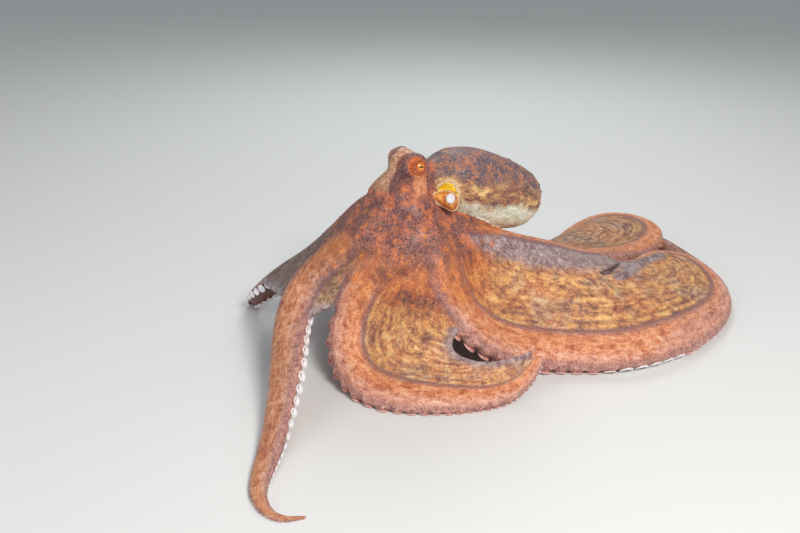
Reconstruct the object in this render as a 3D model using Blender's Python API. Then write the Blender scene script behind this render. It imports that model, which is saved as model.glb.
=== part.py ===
"""A common octopus at life size, crawling on a flat bottom with its head held up and its web spread like a tent.

Metres, +Z up. The animal faces -Y, its mantle points to +Y and its left side is +X. The floor is z = 0 and the
origin is under the middle of the whole animal. The body is modelled as a person would name it: the head with the
mouth disc under it, the two eyes, the mantle, the funnel, eight arms in three lengths each, and the eight
panels of web between them. Neighbours are parted by a thin cut.
"""

import math

import bmesh
import bpy
import numpy as np
from mathutils import Matrix, Vector

CM = 0.01
MM = 0.001
GAP = 0.4 * MM  # the cut between neighbouring parts

# The arms are laid out on a plan (u along the spread of the animal, v across it) that is turned
# this far from the body's own axes.
PLAN_TURN = math.radians(55)

# The crown is the eight-sided ring of arm bases under the head. Its axis leans towards the mantle.
CROWN_U, CROWN_V, CROWN_Z = 1.1 * CM, 0.5 * CM, 17.1 * CM
CROWN_RADIUS = 32 * MM
CROWN_LEAN = math.radians(24)

# Arm section: half width a, rise of the back over the web's level, depth of the sucker side under it.
BASE_HALF_WIDTH, BASE_RISE, BASE_DEPTH = 11.0 * MM, 13.0 * MM, 14.0 * MM
BASE_RUN = 60 * MM  # the arm swells from its base section to its full section over this length
RISE_SHARE, DEPTH_SHARE = 0.50, 0.62  # of the half width, beyond the base
TIP_HALF_WIDTH = 2.2 * MM
WEB_THICKNESS = 4.6 * MM
PRESS_BLEND = 6 * MM  # an arm this far off the floor begins to be pressed flat
CUTS = (0.30, 0.62)  # where each arm is divided, as shares of its length

# Each arm: number in the body's own order, where it leaves the crown (degrees on the plan), its full half
# width, where its taper starts, and its route: u, v, clearance under the arm (cm), and how far its back
# leans outwards (degrees).
ARMS = {
    "L1": dict(base=-140, half=20.0, taper=0.50, route=[
        (-3.7, -2.4, 14.2, -12), (-7.0, -2.9, 11.3, -38), (-10.4, -3.2, 8.0, -20), (-11.9, -6.3, 5.2, 16),
        (-12.0, -11.2, 2.9, 34), (-12.1, -15.8, 1.2, 34), (-12.4, -20.2, 0.2, 28), (-12.8, -24.6, -0.1, 18),
        (-12.6, -28.2, -0.1, 8), (-10.6, -30.6, -0.1, 0), (-8.2, -30.4, -0.1, 0)]),
    "L2": dict(base=-100, half=18.5, taper=0.55, tip=5.0, route=[
        (-0.6, -4.0, 13.0, -18), (-3.2, -4.6, 9.6, -55), (-5.0, -5.0, 6.3, -48), (-5.9, -6.2, 3.5, -8),
        (-5.2, -8.8, 1.0, 20), (-2.4, -11.8, -0.1, 26), (1.8, -13.2, -0.1, 28), (6.2, -13.2, -0.1, 28),
        (10.4, -12.2, 0.1, 26), (13.4, -10.6, 1.3, 24), (15.0, -9.4, 3.4, 18)]),
    "L3": dict(base=-50, half=22.5, taper=0.48, route=[
        (4.3, -4.4, 11.9, 0), (5.9, -5.9, 7.3, 12), (8.7, -6.0, 3.5, 26), (13.0, -5.1, 0.9, 34),
        (18.6, -4.6, -0.1, 34), (24.4, -4.5, -0.1, 34), (30.2, -2.2, -0.1, 32), (36.2, 2.8, -0.1, 30),
        (40.6, 9.0, -0.1, 28), (41.8, 15.0, 0.8, 24), (39.4, 19.4, 2.2, 16), (35.6, 19.2, 3.4, 8),
        (32.0, 16.2, 4.1, 2), (29.0, 13.3, 4.3, 0)]),
    "L4": dict(base=-2, half=17.0, taper=0.45, route=[
        (6.4, 0.9, 13.4, 0), (9.8, 2.3, 12.4, -8), (13.6, 4.4, 10.6, -12), (17.8, 7.2, 8.5, -14),
        (22.4, 11.2, 5.8, -12), (26.8, 15.8, 4.0, -8), (31.8, 21.0, 2.5, 0), (36.2, 26.0, 2.2, 8),
        (36.8, 31.0, 2.7, 12), (32.6, 33.6, 3.2, 10), (27.4, 32.4, 2.6, 4), (23.4, 29.6, 1.2, 0),
        (20.2, 27.0, 0.1, 0), (17.6, 25.6, -0.1, 0)]),
    "R4": dict(base=45, half=16.5, taper=0.42, route=[
        (4.8, 4.4, 12.0, 0), (7.8, 8.4, 8.0, 0), (10.8, 13.4, 4.4, 0), (13.2, 19.0, 1.6, 4),
        (13.6, 25.0, -0.1, 8), (10.6, 29.8, -0.1, 8), (6.2, 30.8, -0.1, 4), (3.2, 28.0, -0.1, 0)]),
    "R3": dict(base=92, half=16.5, taper=0.42, route=[
        (1.0, 4.8, 13.0, 0), (0.6, 9.6, 8.6, 0), (-0.4, 15.4, 4.6, 0), (-1.8, 21.4, 1.6, 4),
        (-3.2, 27.2, -0.1, 8), (-1.8, 32.8, -0.1, 8), (2.4, 36.0, -0.1, 4), (6.8, 36.4, -0.1, 0)]),
    "R2": dict(base=136, half=16.5, taper=0.42, route=[
        (-2.2, 4.2, 14.0, 0), (-5.4, 8.2, 9.6, 0), (-8.4, 12.6, 5.0, 0), (-10.8, 17.4, 1.7, 4),
        (-12.4, 22.4, -0.1, 8), (-12.4, 27.4, -0.1, 8), (-9.8, 31.4, -0.1, 4), (-6.2, 33.4, -0.1, 0)]),
    "R1": dict(base=178, half=15.5, taper=0.50, route=[
        (-3.9, 1.5, 16.0, 0), (-6.8, 3.0, 13.2, 8), (-10.0, 4.2, 9.4, 20), (-13.4, 5.8, 5.9, 38),
        (-16.6, 7.2, 2.9, 55), (-18.4, 9.4, 0.8, 50), (-18.2, 12.8, -0.1, 30), (-16.2, 14.8, -0.1, 10),
        (-14.0, 13.4, -0.1, 0)]),
}
RING = ["L1", "L2", "L3", "L4", "R4", "R3", "R2", "R1"]  # round the mouth, seen from above

# Each panel of web: how far it runs along the arm before it and the arm after it (shares of their
# lengths), how much it bellies outwards between them, and the free margin where it leaves the second arm:
# u, v, height (cm) from that arm's edge to the first arm's tip.
WEBS = {
    ("L1", "L2"): dict(first=0.35, second=0.31, belly=(0.10, 0.02)),
    ("L2", "L3"): dict(first=0.96, second=0.13, belly=(0.14, -0.04), shared=0.40, margin=[
        (5.7, -8.7, 4.5), (7.9, -9.7, 3.7), (10.8, -10.0, 3.9), (13.0, -9.6, 4.3), (14.2, -9.0, 4.6)]),
    ("L3", "L4"): dict(first=0.94, second=0.355, belly=(0.08, 0.0), shared=0.60, margin=[
        (25.1, 11.0, 6.2), (25.6, 10.3, 5.5), (26.5, 10.1, 5.2)]),
    ("L4", "R4"): dict(first=0.88, second=0.44, belly=(0.06, 0.02), shared=0.46, margin=[
        (15.6, 19.2, 3.4), (18.2, 22.4, 2.6), (21.4, 25.8, 2.1)]),
    ("R4", "R3"): dict(first=0.45, second=0.42, belly=(0.08, -0.06)),
    ("R3", "R2"): dict(first=0.40, second=0.42, belly=(0.08, -0.06)),
    ("R2", "R1"): dict(first=0.42, second=0.48, belly=(0.08, -0.04)),
    ("R1", "L1"): dict(first=0.62, second=0.34, belly=(0.10, 0.0)),
}

# The head, on the same plan (cm): the two eye bumps over a neck that flares down to the crown.
EYE_BUMPS = {"L": (1.55, -0.95, 22.55), "R": (0.10, 1.45, 22.60)}
EYE_BUMP_RADIUS = 14.2 * MM
HEAD_MIDDLE = (1.1, 0.4, 20.9)
EYE_RADIUS = 8.2 * MM
EYE_OUT = 7.6 * MM  # from the middle of a bump to the middle of its eye, outwards
EYE_RISE = math.radians(16)  # the eyes look out and a little up
NECK = [(1.3, 0.5, 18.3, 31.0), (1.1, 0.45, 20.2, 24.5), (1.0, 0.35, 22.2, 17.0)]  # u, v, z (cm), radius (mm)

# The mantle: its axis on the plan (cm) with its half width and half height (mm), from neck to apex.
MANTLE = [
    (2.6, 1.2, 21.0, 17, 17), (4.8, 2.5, 20.2, 30, 29), (7.6, 4.4, 18.9, 41, 38), (10.6, 6.4, 17.3, 45, 42),
    (13.2, 8.2, 16.0, 40, 38), (14.9, 9.4, 15.2, 29, 29), (16.1, 10.2, 14.6, 13, 14)]
MANTLE_SIDES = 17
# The opening at the mantle's left front, over the funnel.
OPENING = dict(middle=(5.1, -1.3, 19.1), radii=(14, 15, 16))
FUNNEL = dict(base=(4.0, 0.7, 18.9), tip=(5.35, -0.85, 19.0), base_radius=12.0 * MM, tip_radius=8.0 * MM,
              bore_radius=3.6 * MM, bore_depth=9 * MM)


def clear_scene():
    for obj in list(bpy.data.objects):
        bpy.data.objects.remove(obj, do_unlink=True)


def plan(u, v, z):
    """A point of the plan, in the body's axes."""
    c, s = math.cos(PLAN_TURN), math.sin(PLAN_TURN)
    return np.array([u * c - v * s, u * s + v * c, z])


def unit(vector):
    return vector / np.linalg.norm(vector)


def smooth(t):
    t = np.clip(t, 0.0, 1.0)
    return t * t * (3 - 2 * t)


SPAN = 24  # steps of a spline between two of its points


def spline(points, per_span=SPAN):
    """A natural cubic curve through the points, as a fine polyline with its arc length."""
    points = np.asarray(points, float)
    knots = np.concatenate([[0], np.cumsum(np.linalg.norm(np.diff(points[:, :3], axis=0), axis=1))])
    n, h = len(points), np.diff(knots)
    system, right = np.eye(n), np.zeros_like(points)
    for i in range(1, n - 1):
        system[i, i - 1 : i + 2] = h[i - 1], 2 * (h[i - 1] + h[i]), h[i]
        right[i] = 6 * ((points[i + 1] - points[i]) / h[i] - (points[i] - points[i - 1]) / h[i - 1])
    second = np.linalg.solve(system, right)
    found = []
    for i in range(n - 1):
        for j in range(per_span + (i == n - 2)):
            b = j / per_span
            a = 1 - b
            found.append(a * points[i] + b * points[i + 1]
                         + ((a**3 - a) * second[i] + (b**3 - b) * second[i + 1]) * h[i] ** 2 / 6)
    found = np.array(found)
    length = np.concatenate([[0], np.cumsum(np.linalg.norm(np.diff(found[:, :3], axis=0), axis=1))])
    return found, length


# The crown's own axes: the plane of the arm bases, and its axis.
CROWN = plan(CROWN_U, CROWN_V, CROWN_Z)
CROWN_AXIS = unit(plan(math.sin(CROWN_LEAN), 0, math.cos(CROWN_LEAN)))
CROWN_X = unit(plan(math.cos(CROWN_LEAN), 0, -math.sin(CROWN_LEAN)))
CROWN_Y = np.cross(CROWN_AXIS, CROWN_X)


def crown_direction(degrees):
    angle = math.radians(degrees)
    return math.cos(angle) * CROWN_X + math.sin(angle) * CROWN_Y


class Arm:
    """An arm's stations: a frame (tangent, back, side) and a nine-sided section at each."""

    def __init__(self, name, base, half, taper, route, tip=TIP_HALF_WIDTH / MM):
        self.name, self.out, self.tip = name, crown_direction(base), tip * MM
        start = CROWN + self.out * (CROWN_RADIUS + GAP)
        self.half, self.taper = half * MM, taper
        # The route's heights are clearances, so the axis is that plus the depth of a leaning section. The
        # section depends on how far along the arm it is, so the route settles in a few rounds.
        points = [(*start, 0.0)] + [(*plan(u * CM, v * CM, clear * CM), lean) for u, v, clear, lean in route]
        for _ in range(4):
            self.curve, self.run = spline(points)
            self.length = self.run[-1]
            knots = self.run[::SPAN]
            for i, (u, v, clear, lean) in enumerate(route, 1):
                a, rise, depth = self.section(knots[i], self.length)
                tilt = math.radians(abs(lean))
                height = clear * CM + depth * math.cos(tilt) + 0.8 * a * math.sin(tilt)
                points[i] = (*plan(u * CM, v * CM, height), lean)
        self.curve, self.run = spline(points)
        self.length = self.run[-1]
        stations = [0.0]
        while stations[-1] < self.length:
            a = self.section(stations[-1], self.length)[0]
            stations.append(stations[-1] + 0.85 * a + 6.5 * MM)
        stations = np.array(stations[:-1]) * (self.length / stations[-2])
        # Two stations are moved onto the cuts that divide the arm into lengths.
        self.cut_at = [int(np.argmin(abs(stations - share * self.length))) for share in CUTS]
        self.stations = stations
        self.rings, self.sides, self.backs, self.points = [], [], [], []
        for k, s in enumerate(stations):
            ring, side, back, point = self.ring(s, k == 0)
            self.rings.append(ring)
            self.sides.append(side)
            self.backs.append(back)
            self.points.append(point)

    def section(self, s, length):
        q = np.clip(s / length, 0, 1)
        shrink = 1 - np.clip((q - self.taper) / (1 - self.taper), 0, 1) ** 1.15
        full = self.tip + (self.half - self.tip) * shrink
        t = smooth(s / BASE_RUN)
        a = BASE_HALF_WIDTH + (full - BASE_HALF_WIDTH) * t
        rise = BASE_RISE + (RISE_SHARE * full - BASE_RISE) * t
        depth = BASE_DEPTH + (DEPTH_SHARE * full - BASE_DEPTH) * t
        return a, rise, depth

    def at(self, s):
        p = np.array([np.interp(s, self.run, self.curve[:, i]) for i in range(4)])
        ahead = np.array([np.interp(min(s + 2 * MM, self.length), self.run, self.curve[:, i]) for i in range(3)])
        behind = np.array([np.interp(max(s - 2 * MM, 0), self.run, self.curve[:, i]) for i in range(3)])
        return p[:3], p[3], unit(ahead - behind)

    def ring(self, s, first=False):
        point, lean, tangent = self.at(s)
        up = np.array([0, 0, 1.0])
        if first:
            tangent, up = self.out, CROWN_AXIS
        elif s < BASE_RUN:
            up = unit(CROWN_AXIS * (1 - s / BASE_RUN) + up * (s / BASE_RUN))
        back = unit(up - tangent * np.dot(up, tangent))
        side = np.cross(back, tangent)
        tilt = math.radians(lean)
        back, side = back * math.cos(tilt) - side * math.sin(tilt), side * math.cos(tilt) + back * math.sin(tilt)
        a, rise, depth = self.section(s, self.length)
        web = min(WEB_THICKNESS, 0.55 * a)
        outline = [(0, rise), (-0.60 * a, 0.80 * rise), (-a, web / 2), (-a, -web / 2), (-0.78 * a, -depth),
                   (0.78 * a, -depth), (a, -web / 2), (a, web / 2), (0.60 * a, 0.80 * rise)]
        ring = np.array([point + x * side + z * back for x, z in outline])
        # The sucker side is pressed flat where the arm lies on the floor.
        pressed = 1 - smooth(ring[:, 2].min() / PRESS_BLEND)
        ring[4:6, 2] *= 1 - pressed
        ring[:, 2] = np.maximum(ring[:, 2], 0.0)
        return ring, side, back, point


def loft(rings):
    """A closed body through sections of equal count: quads between them and a face on each end."""
    bm = bmesh.new()
    loops = [[bm.verts.new(Vector(p)) for p in ring] for ring in rings]
    n = len(rings[0])
    for one, two in zip(loops, loops[1:]):
        for i in range(n):
            bm.faces.new((one[i], one[(i + 1) % n], two[(i + 1) % n], two[i]))
    bm.faces.new(loops[0][::-1])
    bm.faces.new(loops[-1])
    return finished(bm)


def finished(bm):
    bmesh.ops.remove_doubles(bm, verts=bm.verts, dist=0.00005)
    bmesh.ops.dissolve_degenerate(bm, edges=bm.edges, dist=0.00002)
    bmesh.ops.triangulate(bm, faces=bm.faces)
    bmesh.ops.recalc_face_normals(bm, faces=bm.faces)
    if bm.calc_volume(signed=True) < 0:
        bmesh.ops.reverse_faces(bm, faces=bm.faces)
    mesh = bpy.data.meshes.new("body")
    bm.to_mesh(mesh)
    bm.free()
    return mesh


def arm_lengths(arm):
    """The arm in its three lengths, parted by cuts across it."""
    ends = [0, *arm.cut_at, len(arm.rings) - 1]
    for part, (start, stop) in enumerate(zip(ends, ends[1:])):
        rings = [arm.rings[k] for k in range(start, stop + 1)]
        if part:
            rings[0] = arm.ring(arm.stations[start] + GAP / 2)[0]
        if part < 2:
            rings[-1] = arm.ring(arm.stations[stop] - GAP / 2)[0]
        yield part, loft(rings)


def web_panel(first, second, spec):
    """A panel of web as a thin closed slab, its long edges parallel to the flanks of its two arms."""
    last = [int(np.argmin(abs(arm.stations - share * arm.length)))
            for arm, share in ((first, spec["first"]), (second, spec["second"]))]
    left = [(first.rings[k][7], first.rings[k][6], first.sides[k], first.backs[k]) for k in range(last[0] + 1)]
    right = [(second.rings[k][2], second.rings[k][3], -second.sides[k], second.backs[k]) for k in range(last[1] + 1)]
    # It starts where the two arms have parted enough to hold it.
    start = next(k for k in range(1, 9) if all(
        np.dot(right[j][i] - left[j][i], first.sides[j]) > 3 * MM
        for j in range(k, min(k + 3, len(left), len(right))) for i in (0, 1)))
    left, right = left[start:], right[start:]
    left = [(top + GAP * side, low + GAP * side, back) for top, low, side, back in left]
    right = [(top + GAP * side, low + GAP * side, back) for top, low, side, back in right]
    pairs = []
    if "margin" in spec:
        # Rows run between the two arms as far as the second arm's edge, then on to the free margin.
        shared = round(len(left) * spec["shared"])
        route = [(right[-1][0] + right[-1][1]) / 2] + [plan(u * CM, v * CM, z * CM) for u, v, z in spec["margin"]]
        curve, run = spline(route)
        free = len(left) - shared
        for i in range(len(left)):
            if i < shared:
                pairs.append((left[i], right[round(i * (len(right) - 1) / (shared - 1))]))
                continue
            t = (i - shared + 1) / free * run[-1]
            mid = np.array([np.interp(t, run, curve[:, c]) for c in range(3)])
            back = left[i][2]
            half = 0.32 * WEB_THICKNESS
            pairs.append((left[i], (mid + half * back, mid - half * back, back)))
    else:
        count = max(len(left), len(right))
        for i in range(count):
            pairs.append((left[round(i * (len(left) - 1) / (count - 1))],
                          right[round(i * (len(right) - 1) / (count - 1))]))
    across = 4
    rows = []
    for i, ((top_l, low_l, back_l), (top_r, low_r, back_r)) in enumerate(pairs):
        width = np.linalg.norm(top_r - top_l)
        normal = unit(back_l + back_r)
        share = i / max(len(pairs) - 1, 1)
        belly = (spec["belly"][0] * (1 - share) + spec["belly"][1] * share) * width
        tops, lows = [], []
        for j in range(across + 1):
            t = j / across
            lift = belly * 4 * t * (1 - t) * normal
            tops.append(top_l * (1 - t) + top_r * t + lift)
            lows.append(low_l * (1 - t) + low_r * t + lift)
        for points in (tops, lows):
            for p in points:
                p[2] = max(p[2], 0.3 * MM)
        rows.append((tops, lows))
    bm = bmesh.new()
    top = [[bm.verts.new(Vector(p)) for p in tops] for tops, _ in rows]
    low = [[bm.verts.new(Vector(p)) for p in lows] for _, lows in rows]
    for i in range(len(rows) - 1):
        for j in range(across):
            bm.faces.new((top[i][j], top[i + 1][j], top[i + 1][j + 1], top[i][j + 1]))
            bm.faces.new((low[i][j], low[i][j + 1], low[i + 1][j + 1], low[i + 1][j]))
        bm.faces.new((top[i][0], low[i][0], low[i + 1][0], top[i + 1][0]))
        bm.faces.new((top[i][-1], top[i + 1][-1], low[i + 1][-1], low[i][-1]))
    for row_top, row_low, flip in ((top[0], low[0], 1), (top[-1], low[-1], -1)):
        for j in range(across):
            bm.faces.new((row_top[j], row_top[j + 1], row_low[j + 1], row_low[j])[::flip])
    return finished(bm)


def to_plan(point):
    """A point in centimetres on the plan, in the body's axes and in metres."""
    return plan(point[0] * CM, point[1] * CM, point[2] * CM)


def blend_least(values, soft):
    """A smooth least of distances, so that shapes run into each other."""
    values = np.asarray(values)
    low = values.min()
    return low - soft * math.log(np.exp(-(values - low) / soft).sum())


LEFTWARD = np.array([1.0, 0, 0])  # out of the left side


def eye_axis(side):
    out = LEFTWARD if side == "L" else -LEFTWARD
    return unit(out * math.cos(EYE_RISE) + np.array([0, -0.12, math.sin(EYE_RISE)]))


def head_distance(point):
    """Below zero inside the head: bumps for the eyes, a neck of stacked balls and the start of the mantle."""
    found = [np.linalg.norm(point - to_plan(c)) - EYE_BUMP_RADIUS for c in EYE_BUMPS.values()]
    for (u0, v0, z0, r0), (u1, v1, z1, r1) in zip(NECK, NECK[1:]):
        a, b = to_plan((u0, v0, z0)), to_plan((u1, v1, z1))
        t = np.clip(np.dot(point - a, b - a) / np.dot(b - a, b - a), 0, 1)
        found.append(np.linalg.norm(point - a - t * (b - a)) - (r0 + (r1 - r0) * t) * MM)
    a, b = to_plan((1.6, 0.6, 21.4)), to_plan(MANTLE[1][:3])
    t = np.clip(np.dot(point - a, b - a) / np.dot(b - a, b - a), 0, 1)
    found.append(np.linalg.norm(point - a - t * (b - a)) - (16 + 4 * t) * MM)
    return blend_least(found, 2.6 * MM)


def new_bmesh(make):
    bm = bmesh.new()
    make(bm)
    return bm


def head_mesh():
    """A ball drawn out along its own rays to the head's surface."""
    middle = to_plan(HEAD_MIDDLE)
    bm = new_bmesh(lambda b: bmesh.ops.create_uvsphere(b, u_segments=22, v_segments=14, radius=1))
    for vert in bm.verts:
        ray = unit(np.array(vert.co))
        near, far = 0.0, 0.09
        for _ in range(22):
            mid = (near + far) / 2
            if head_distance(middle + ray * mid) < 0:
                near = mid
            else:
                far = mid
        vert.co = Vector(middle + ray * near)
    return finished(bm)


def crown_core(arms):
    """The eight-sided core that the arm bases stand round, closed below by the mouth disc."""
    def ring(height, radius, sides):
        """A section square to the crown's axis: flat sides facing the arms, or round."""
        count = len(RING)
        found = []
        outs = [arms[name].out for name in RING]
        for i in range(count):
            one, two = outs[i], outs[(i + 1) % count]
            corner = unit(one + two) / math.cos(math.acos(np.clip(np.dot(one, two), -1, 1)) / 2)
            last = outs[i - 1]
            before = unit(last + one) / math.cos(math.acos(np.clip(np.dot(last, one), -1, 1)) / 2)
            for t in (0.0, 1 / 3, 2 / 3):
                edge = before * (1 - t) + corner * t
                out = unit(edge) * (1 - sides) + edge * sides
                found.append(CROWN + CROWN_AXIS * height + out * radius)
        return found
    top = BASE_RISE
    return loft([
        ring(-BASE_DEPTH - 1 * MM, 9 * MM, 0.0), ring(-BASE_DEPTH - 3 * MM, 13 * MM, 0.0),
        ring(-BASE_DEPTH - 1 * MM, 20 * MM, 0.5), ring(-BASE_DEPTH, CROWN_RADIUS - GAP, 1.0),
        ring(top - 1 * MM, CROWN_RADIUS - GAP, 1.0), ring(top + 4 * MM, CROWN_RADIUS - 3 * MM, 0.6),
        ring(top + 9 * MM, 22 * MM, 0.0)])


def mantle_mesh():
    """A sac lofted along its bending axis, blunt at the apex."""
    rows = np.array([(*to_plan(row[:3]), row[3] * MM, row[4] * MM) for row in MANTLE])
    curve, run = spline(rows)
    rings = []
    stations = 11
    for k in range(stations + 1):
        s = run[-1] * (k / stations)
        p = np.array([np.interp(s, run, curve[:, i]) for i in range(5)])
        a = np.array([np.interp(max(s - 2 * MM, 0), run, curve[:, i]) for i in range(3)])
        b = np.array([np.interp(min(s + 2 * MM, run[-1]), run, curve[:, i]) for i in range(3)])
        tangent = unit(b - a)
        side = unit(np.cross(tangent, (0, 0, 1)))
        up = np.cross(side, tangent)
        rings.append([p[:3] + math.cos(t) * p[3] * side + math.sin(t) * p[4] * up
                      for t in np.arange(MANTLE_SIDES) * 2 * math.pi / MANTLE_SIDES])
    tip = unit(rows[-1][:3] - rows[-2][:3])
    middle = np.mean(rings[-1], axis=0)
    rings.append([middle + 3.5 * MM * tip + (p - middle) * 0.55 for p in rings[-1]])
    return loft(rings)


def frame_at(origin, axis):
    """A matrix whose +Z runs along the axis."""
    turn = Vector((0, 0, 1)).rotation_difference(Vector(axis)).to_matrix().to_4x4()
    return Matrix.Translation(Vector(origin)) @ turn


def ball_mesh(middle, radii, segments=16, rings=10, turn=0.0):
    bm = new_bmesh(lambda b: bmesh.ops.create_uvsphere(b, u_segments=segments, v_segments=rings, radius=1))
    place = Matrix.Translation(Vector(middle)) @ Matrix.Rotation(turn, 4, "Z") @ Matrix.Diagonal((*radii, 1))
    bmesh.ops.transform(bm, matrix=place, verts=bm.verts)
    return finished(bm)


def eye_mesh(side):
    """The eyeball, its poles on the line of sight."""
    axis = eye_axis(side)
    middle = to_plan(EYE_BUMPS[side]) + axis * EYE_OUT
    bm = new_bmesh(lambda b: bmesh.ops.create_uvsphere(b, u_segments=14, v_segments=9, radius=EYE_RADIUS))
    bmesh.ops.transform(bm, matrix=frame_at(middle, axis), verts=bm.verts)
    return finished(bm)


def funnel_mesh():
    """A short tapering tube with its bore open at the tip."""
    base, tip = to_plan(FUNNEL["base"]), to_plan(FUNNEL["tip"])
    axis = unit(tip - base)
    length = float(np.linalg.norm(tip - base))
    wide, thin, bore = FUNNEL["base_radius"], FUNNEL["tip_radius"], FUNNEL["bore_radius"]
    depth = FUNNEL["bore_depth"]
    outline = [(-2 * MM, wide * 0.7), (0, wide), (length * 0.5, (wide + thin) / 2), (length, thin),
               (length + 0.8 * MM, thin * 0.86), (length + 0.4 * MM, bore), (length - depth, bore * 0.8)]
    place = frame_at(base, axis)
    sides = 16
    rings = [[np.array(place @ Vector((r * math.cos(2 * math.pi * i / sides), r * math.sin(2 * math.pi * i / sides), h)))
              for i in range(sides)] for h, r in outline]
    return loft(rings)


def material(name, colour, roughness):
    found = bpy.data.materials.get(name)
    if found is None:
        found = bpy.data.materials.new(name)
        found.use_nodes = True
        shader = found.node_tree.nodes["Principled BSDF"]
        shader.inputs["Base Color"].default_value = (*colour, 1)
        shader.inputs["Roughness"].default_value = roughness
        shader.inputs["Metallic"].default_value = 0.0
    return found


SKIN = ("skin", (0.42, 0.16, 0.07), 0.45)
WEB = ("web", (0.36, 0.17, 0.08), 0.45)
MANTLE_SKIN = ("mantle_skin", (0.34, 0.15, 0.08), 0.45)
FUNNEL_SKIN = ("funnel_skin", (0.62, 0.34, 0.10), 0.40)
EYE = ("eye", (0.75, 0.30, 0.03), 0.12)


def add(name, mesh, finish, collection):
    obj = bpy.data.objects.new(name, mesh)
    collection.objects.link(obj)
    mesh.materials.append(material(*finish))
    mesh.shade_smooth()
    mesh.set_sharp_from_angle(angle=math.radians(60))
    return obj


def swollen(obj, by, collection):
    """A cutter: a copy of the object grown by the gap between neighbours."""
    mesh = obj.data.copy()
    bm = bmesh.new()
    bm.from_mesh(mesh)
    bm.normal_update()
    moves = [vert.normal * by for vert in bm.verts]
    for vert, move in zip(bm.verts, moves):
        vert.co += move
    bm.to_mesh(mesh)
    bm.free()
    cutter = bpy.data.objects.new(obj.name + "_cutter", mesh)
    collection.objects.link(cutter)
    cutter.hide_render = True
    cutter.display_type = "WIRE"
    return cutter


def boolean(obj, other, operation):
    """Cuts or joins for good, so that a later cutter can be made from the result."""
    modifier = obj.modifiers.new(operation.lower(), "BOOLEAN")
    modifier.operation, modifier.object, modifier.solver = operation, other, "EXACT"
    graph = bpy.context.evaluated_depsgraph_get()
    mesh = bpy.data.meshes.new_from_object(obj.evaluated_get(graph))
    obj.modifiers.clear()
    obj.data = mesh
    bm = bmesh.new()
    bm.from_mesh(mesh)
    bmesh.ops.triangulate(bm, faces=bm.faces)
    bmesh.ops.remove_doubles(bm, verts=bm.verts, dist=0.00005)
    bmesh.ops.dissolve_degenerate(bm, edges=bm.edges, dist=0.00005)
    bmesh.ops.triangulate(bm, faces=bm.faces)
    bm.to_mesh(mesh)
    bm.free()
    mesh.shade_smooth()
    mesh.set_sharp_from_angle(angle=math.radians(60))


def main():
    clear_scene()
    octopus = bpy.data.collections.new("octopus")
    cutters = bpy.data.collections.new("cutters")
    for collection in (octopus, cutters):
        bpy.context.scene.collection.children.link(collection)
    arms = {name: Arm(name, **spec) for name, spec in ARMS.items()}
    for name, arm in arms.items():
        for part, mesh in arm_lengths(arm):
            add(f"arm_{name}_{('base', 'middle', 'tip')[part]}", mesh, SKIN, octopus)
    for (one, two), spec in WEBS.items():
        add(f"web_{one}_{two}", web_panel(arms[one], arms[two], spec), WEB, octopus)

    # The head is the drawn-out ball joined to the crown's core, with a socket for each eye.
    head = add("head", head_mesh(), SKIN, octopus)
    core = add("core", crown_core(arms), SKIN, cutters)
    core.hide_render, core.display_type = True, "WIRE"
    boolean(head, core, "UNION")
    grown = swollen(head, GAP, cutters)
    for obj in octopus.objects:  # the arm bases end at the head
        if obj.name.endswith("_base"):
            boolean(obj, grown, "DIFFERENCE")
    for side in EYE_BUMPS:
        eye = add(f"eye_{side}", eye_mesh(side), EYE, octopus)
        boolean(head, swollen(eye, GAP, cutters), "DIFFERENCE")

    mantle = add("mantle", mantle_mesh(), MANTLE_SKIN, octopus)
    boolean(mantle, swollen(head, GAP, cutters), "DIFFERENCE")
    opening = add("opening", ball_mesh(to_plan(OPENING["middle"]), [r * MM for r in OPENING["radii"]],
                                       turn=PLAN_TURN), MANTLE_SKIN, cutters)
    opening.hide_render, opening.display_type = True, "WIRE"
    boolean(mantle, opening, "DIFFERENCE")
    funnel = add("funnel", funnel_mesh(), FUNNEL_SKIN, octopus)
    for other in (head, mantle, bpy.data.objects["arm_L4_base"]):
        boolean(funnel, swollen(other, GAP, cutters), "DIFFERENCE")

    # The origin is moved under the middle of the animal, on the floor.
    corners = np.array([obj.matrix_world @ vert.co for obj in octopus.objects for vert in obj.data.vertices])
    middle = (corners.min(axis=0) + corners.max(axis=0)) / 2
    shift = Matrix.Translation((-middle[0], -middle[1], 0))
    for obj in (*octopus.objects, *cutters.objects):
        obj.data.transform(shift)
    size = (corners.max(axis=0) - corners.min(axis=0)) / MM
    print("octopus: %.1f x %.1f x %.1f mm" % tuple(size))


main()
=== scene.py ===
"""An octopus at life size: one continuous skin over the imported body, its suckers, and its two eyes.

The skin is grown from the same named sizes as the body: arms, webs, head, mantle and funnel are drawn finely, joined
by a voxel remesh, smoothed so that the arms sink into the web, and then given lids, folds, warts and a procedural
colouring that follows the arms.
"""

import math

import bmesh
import bpy
import numpy as np
from mathutils import Matrix, Vector
from mathutils.bvhtree import BVHTree


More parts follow.
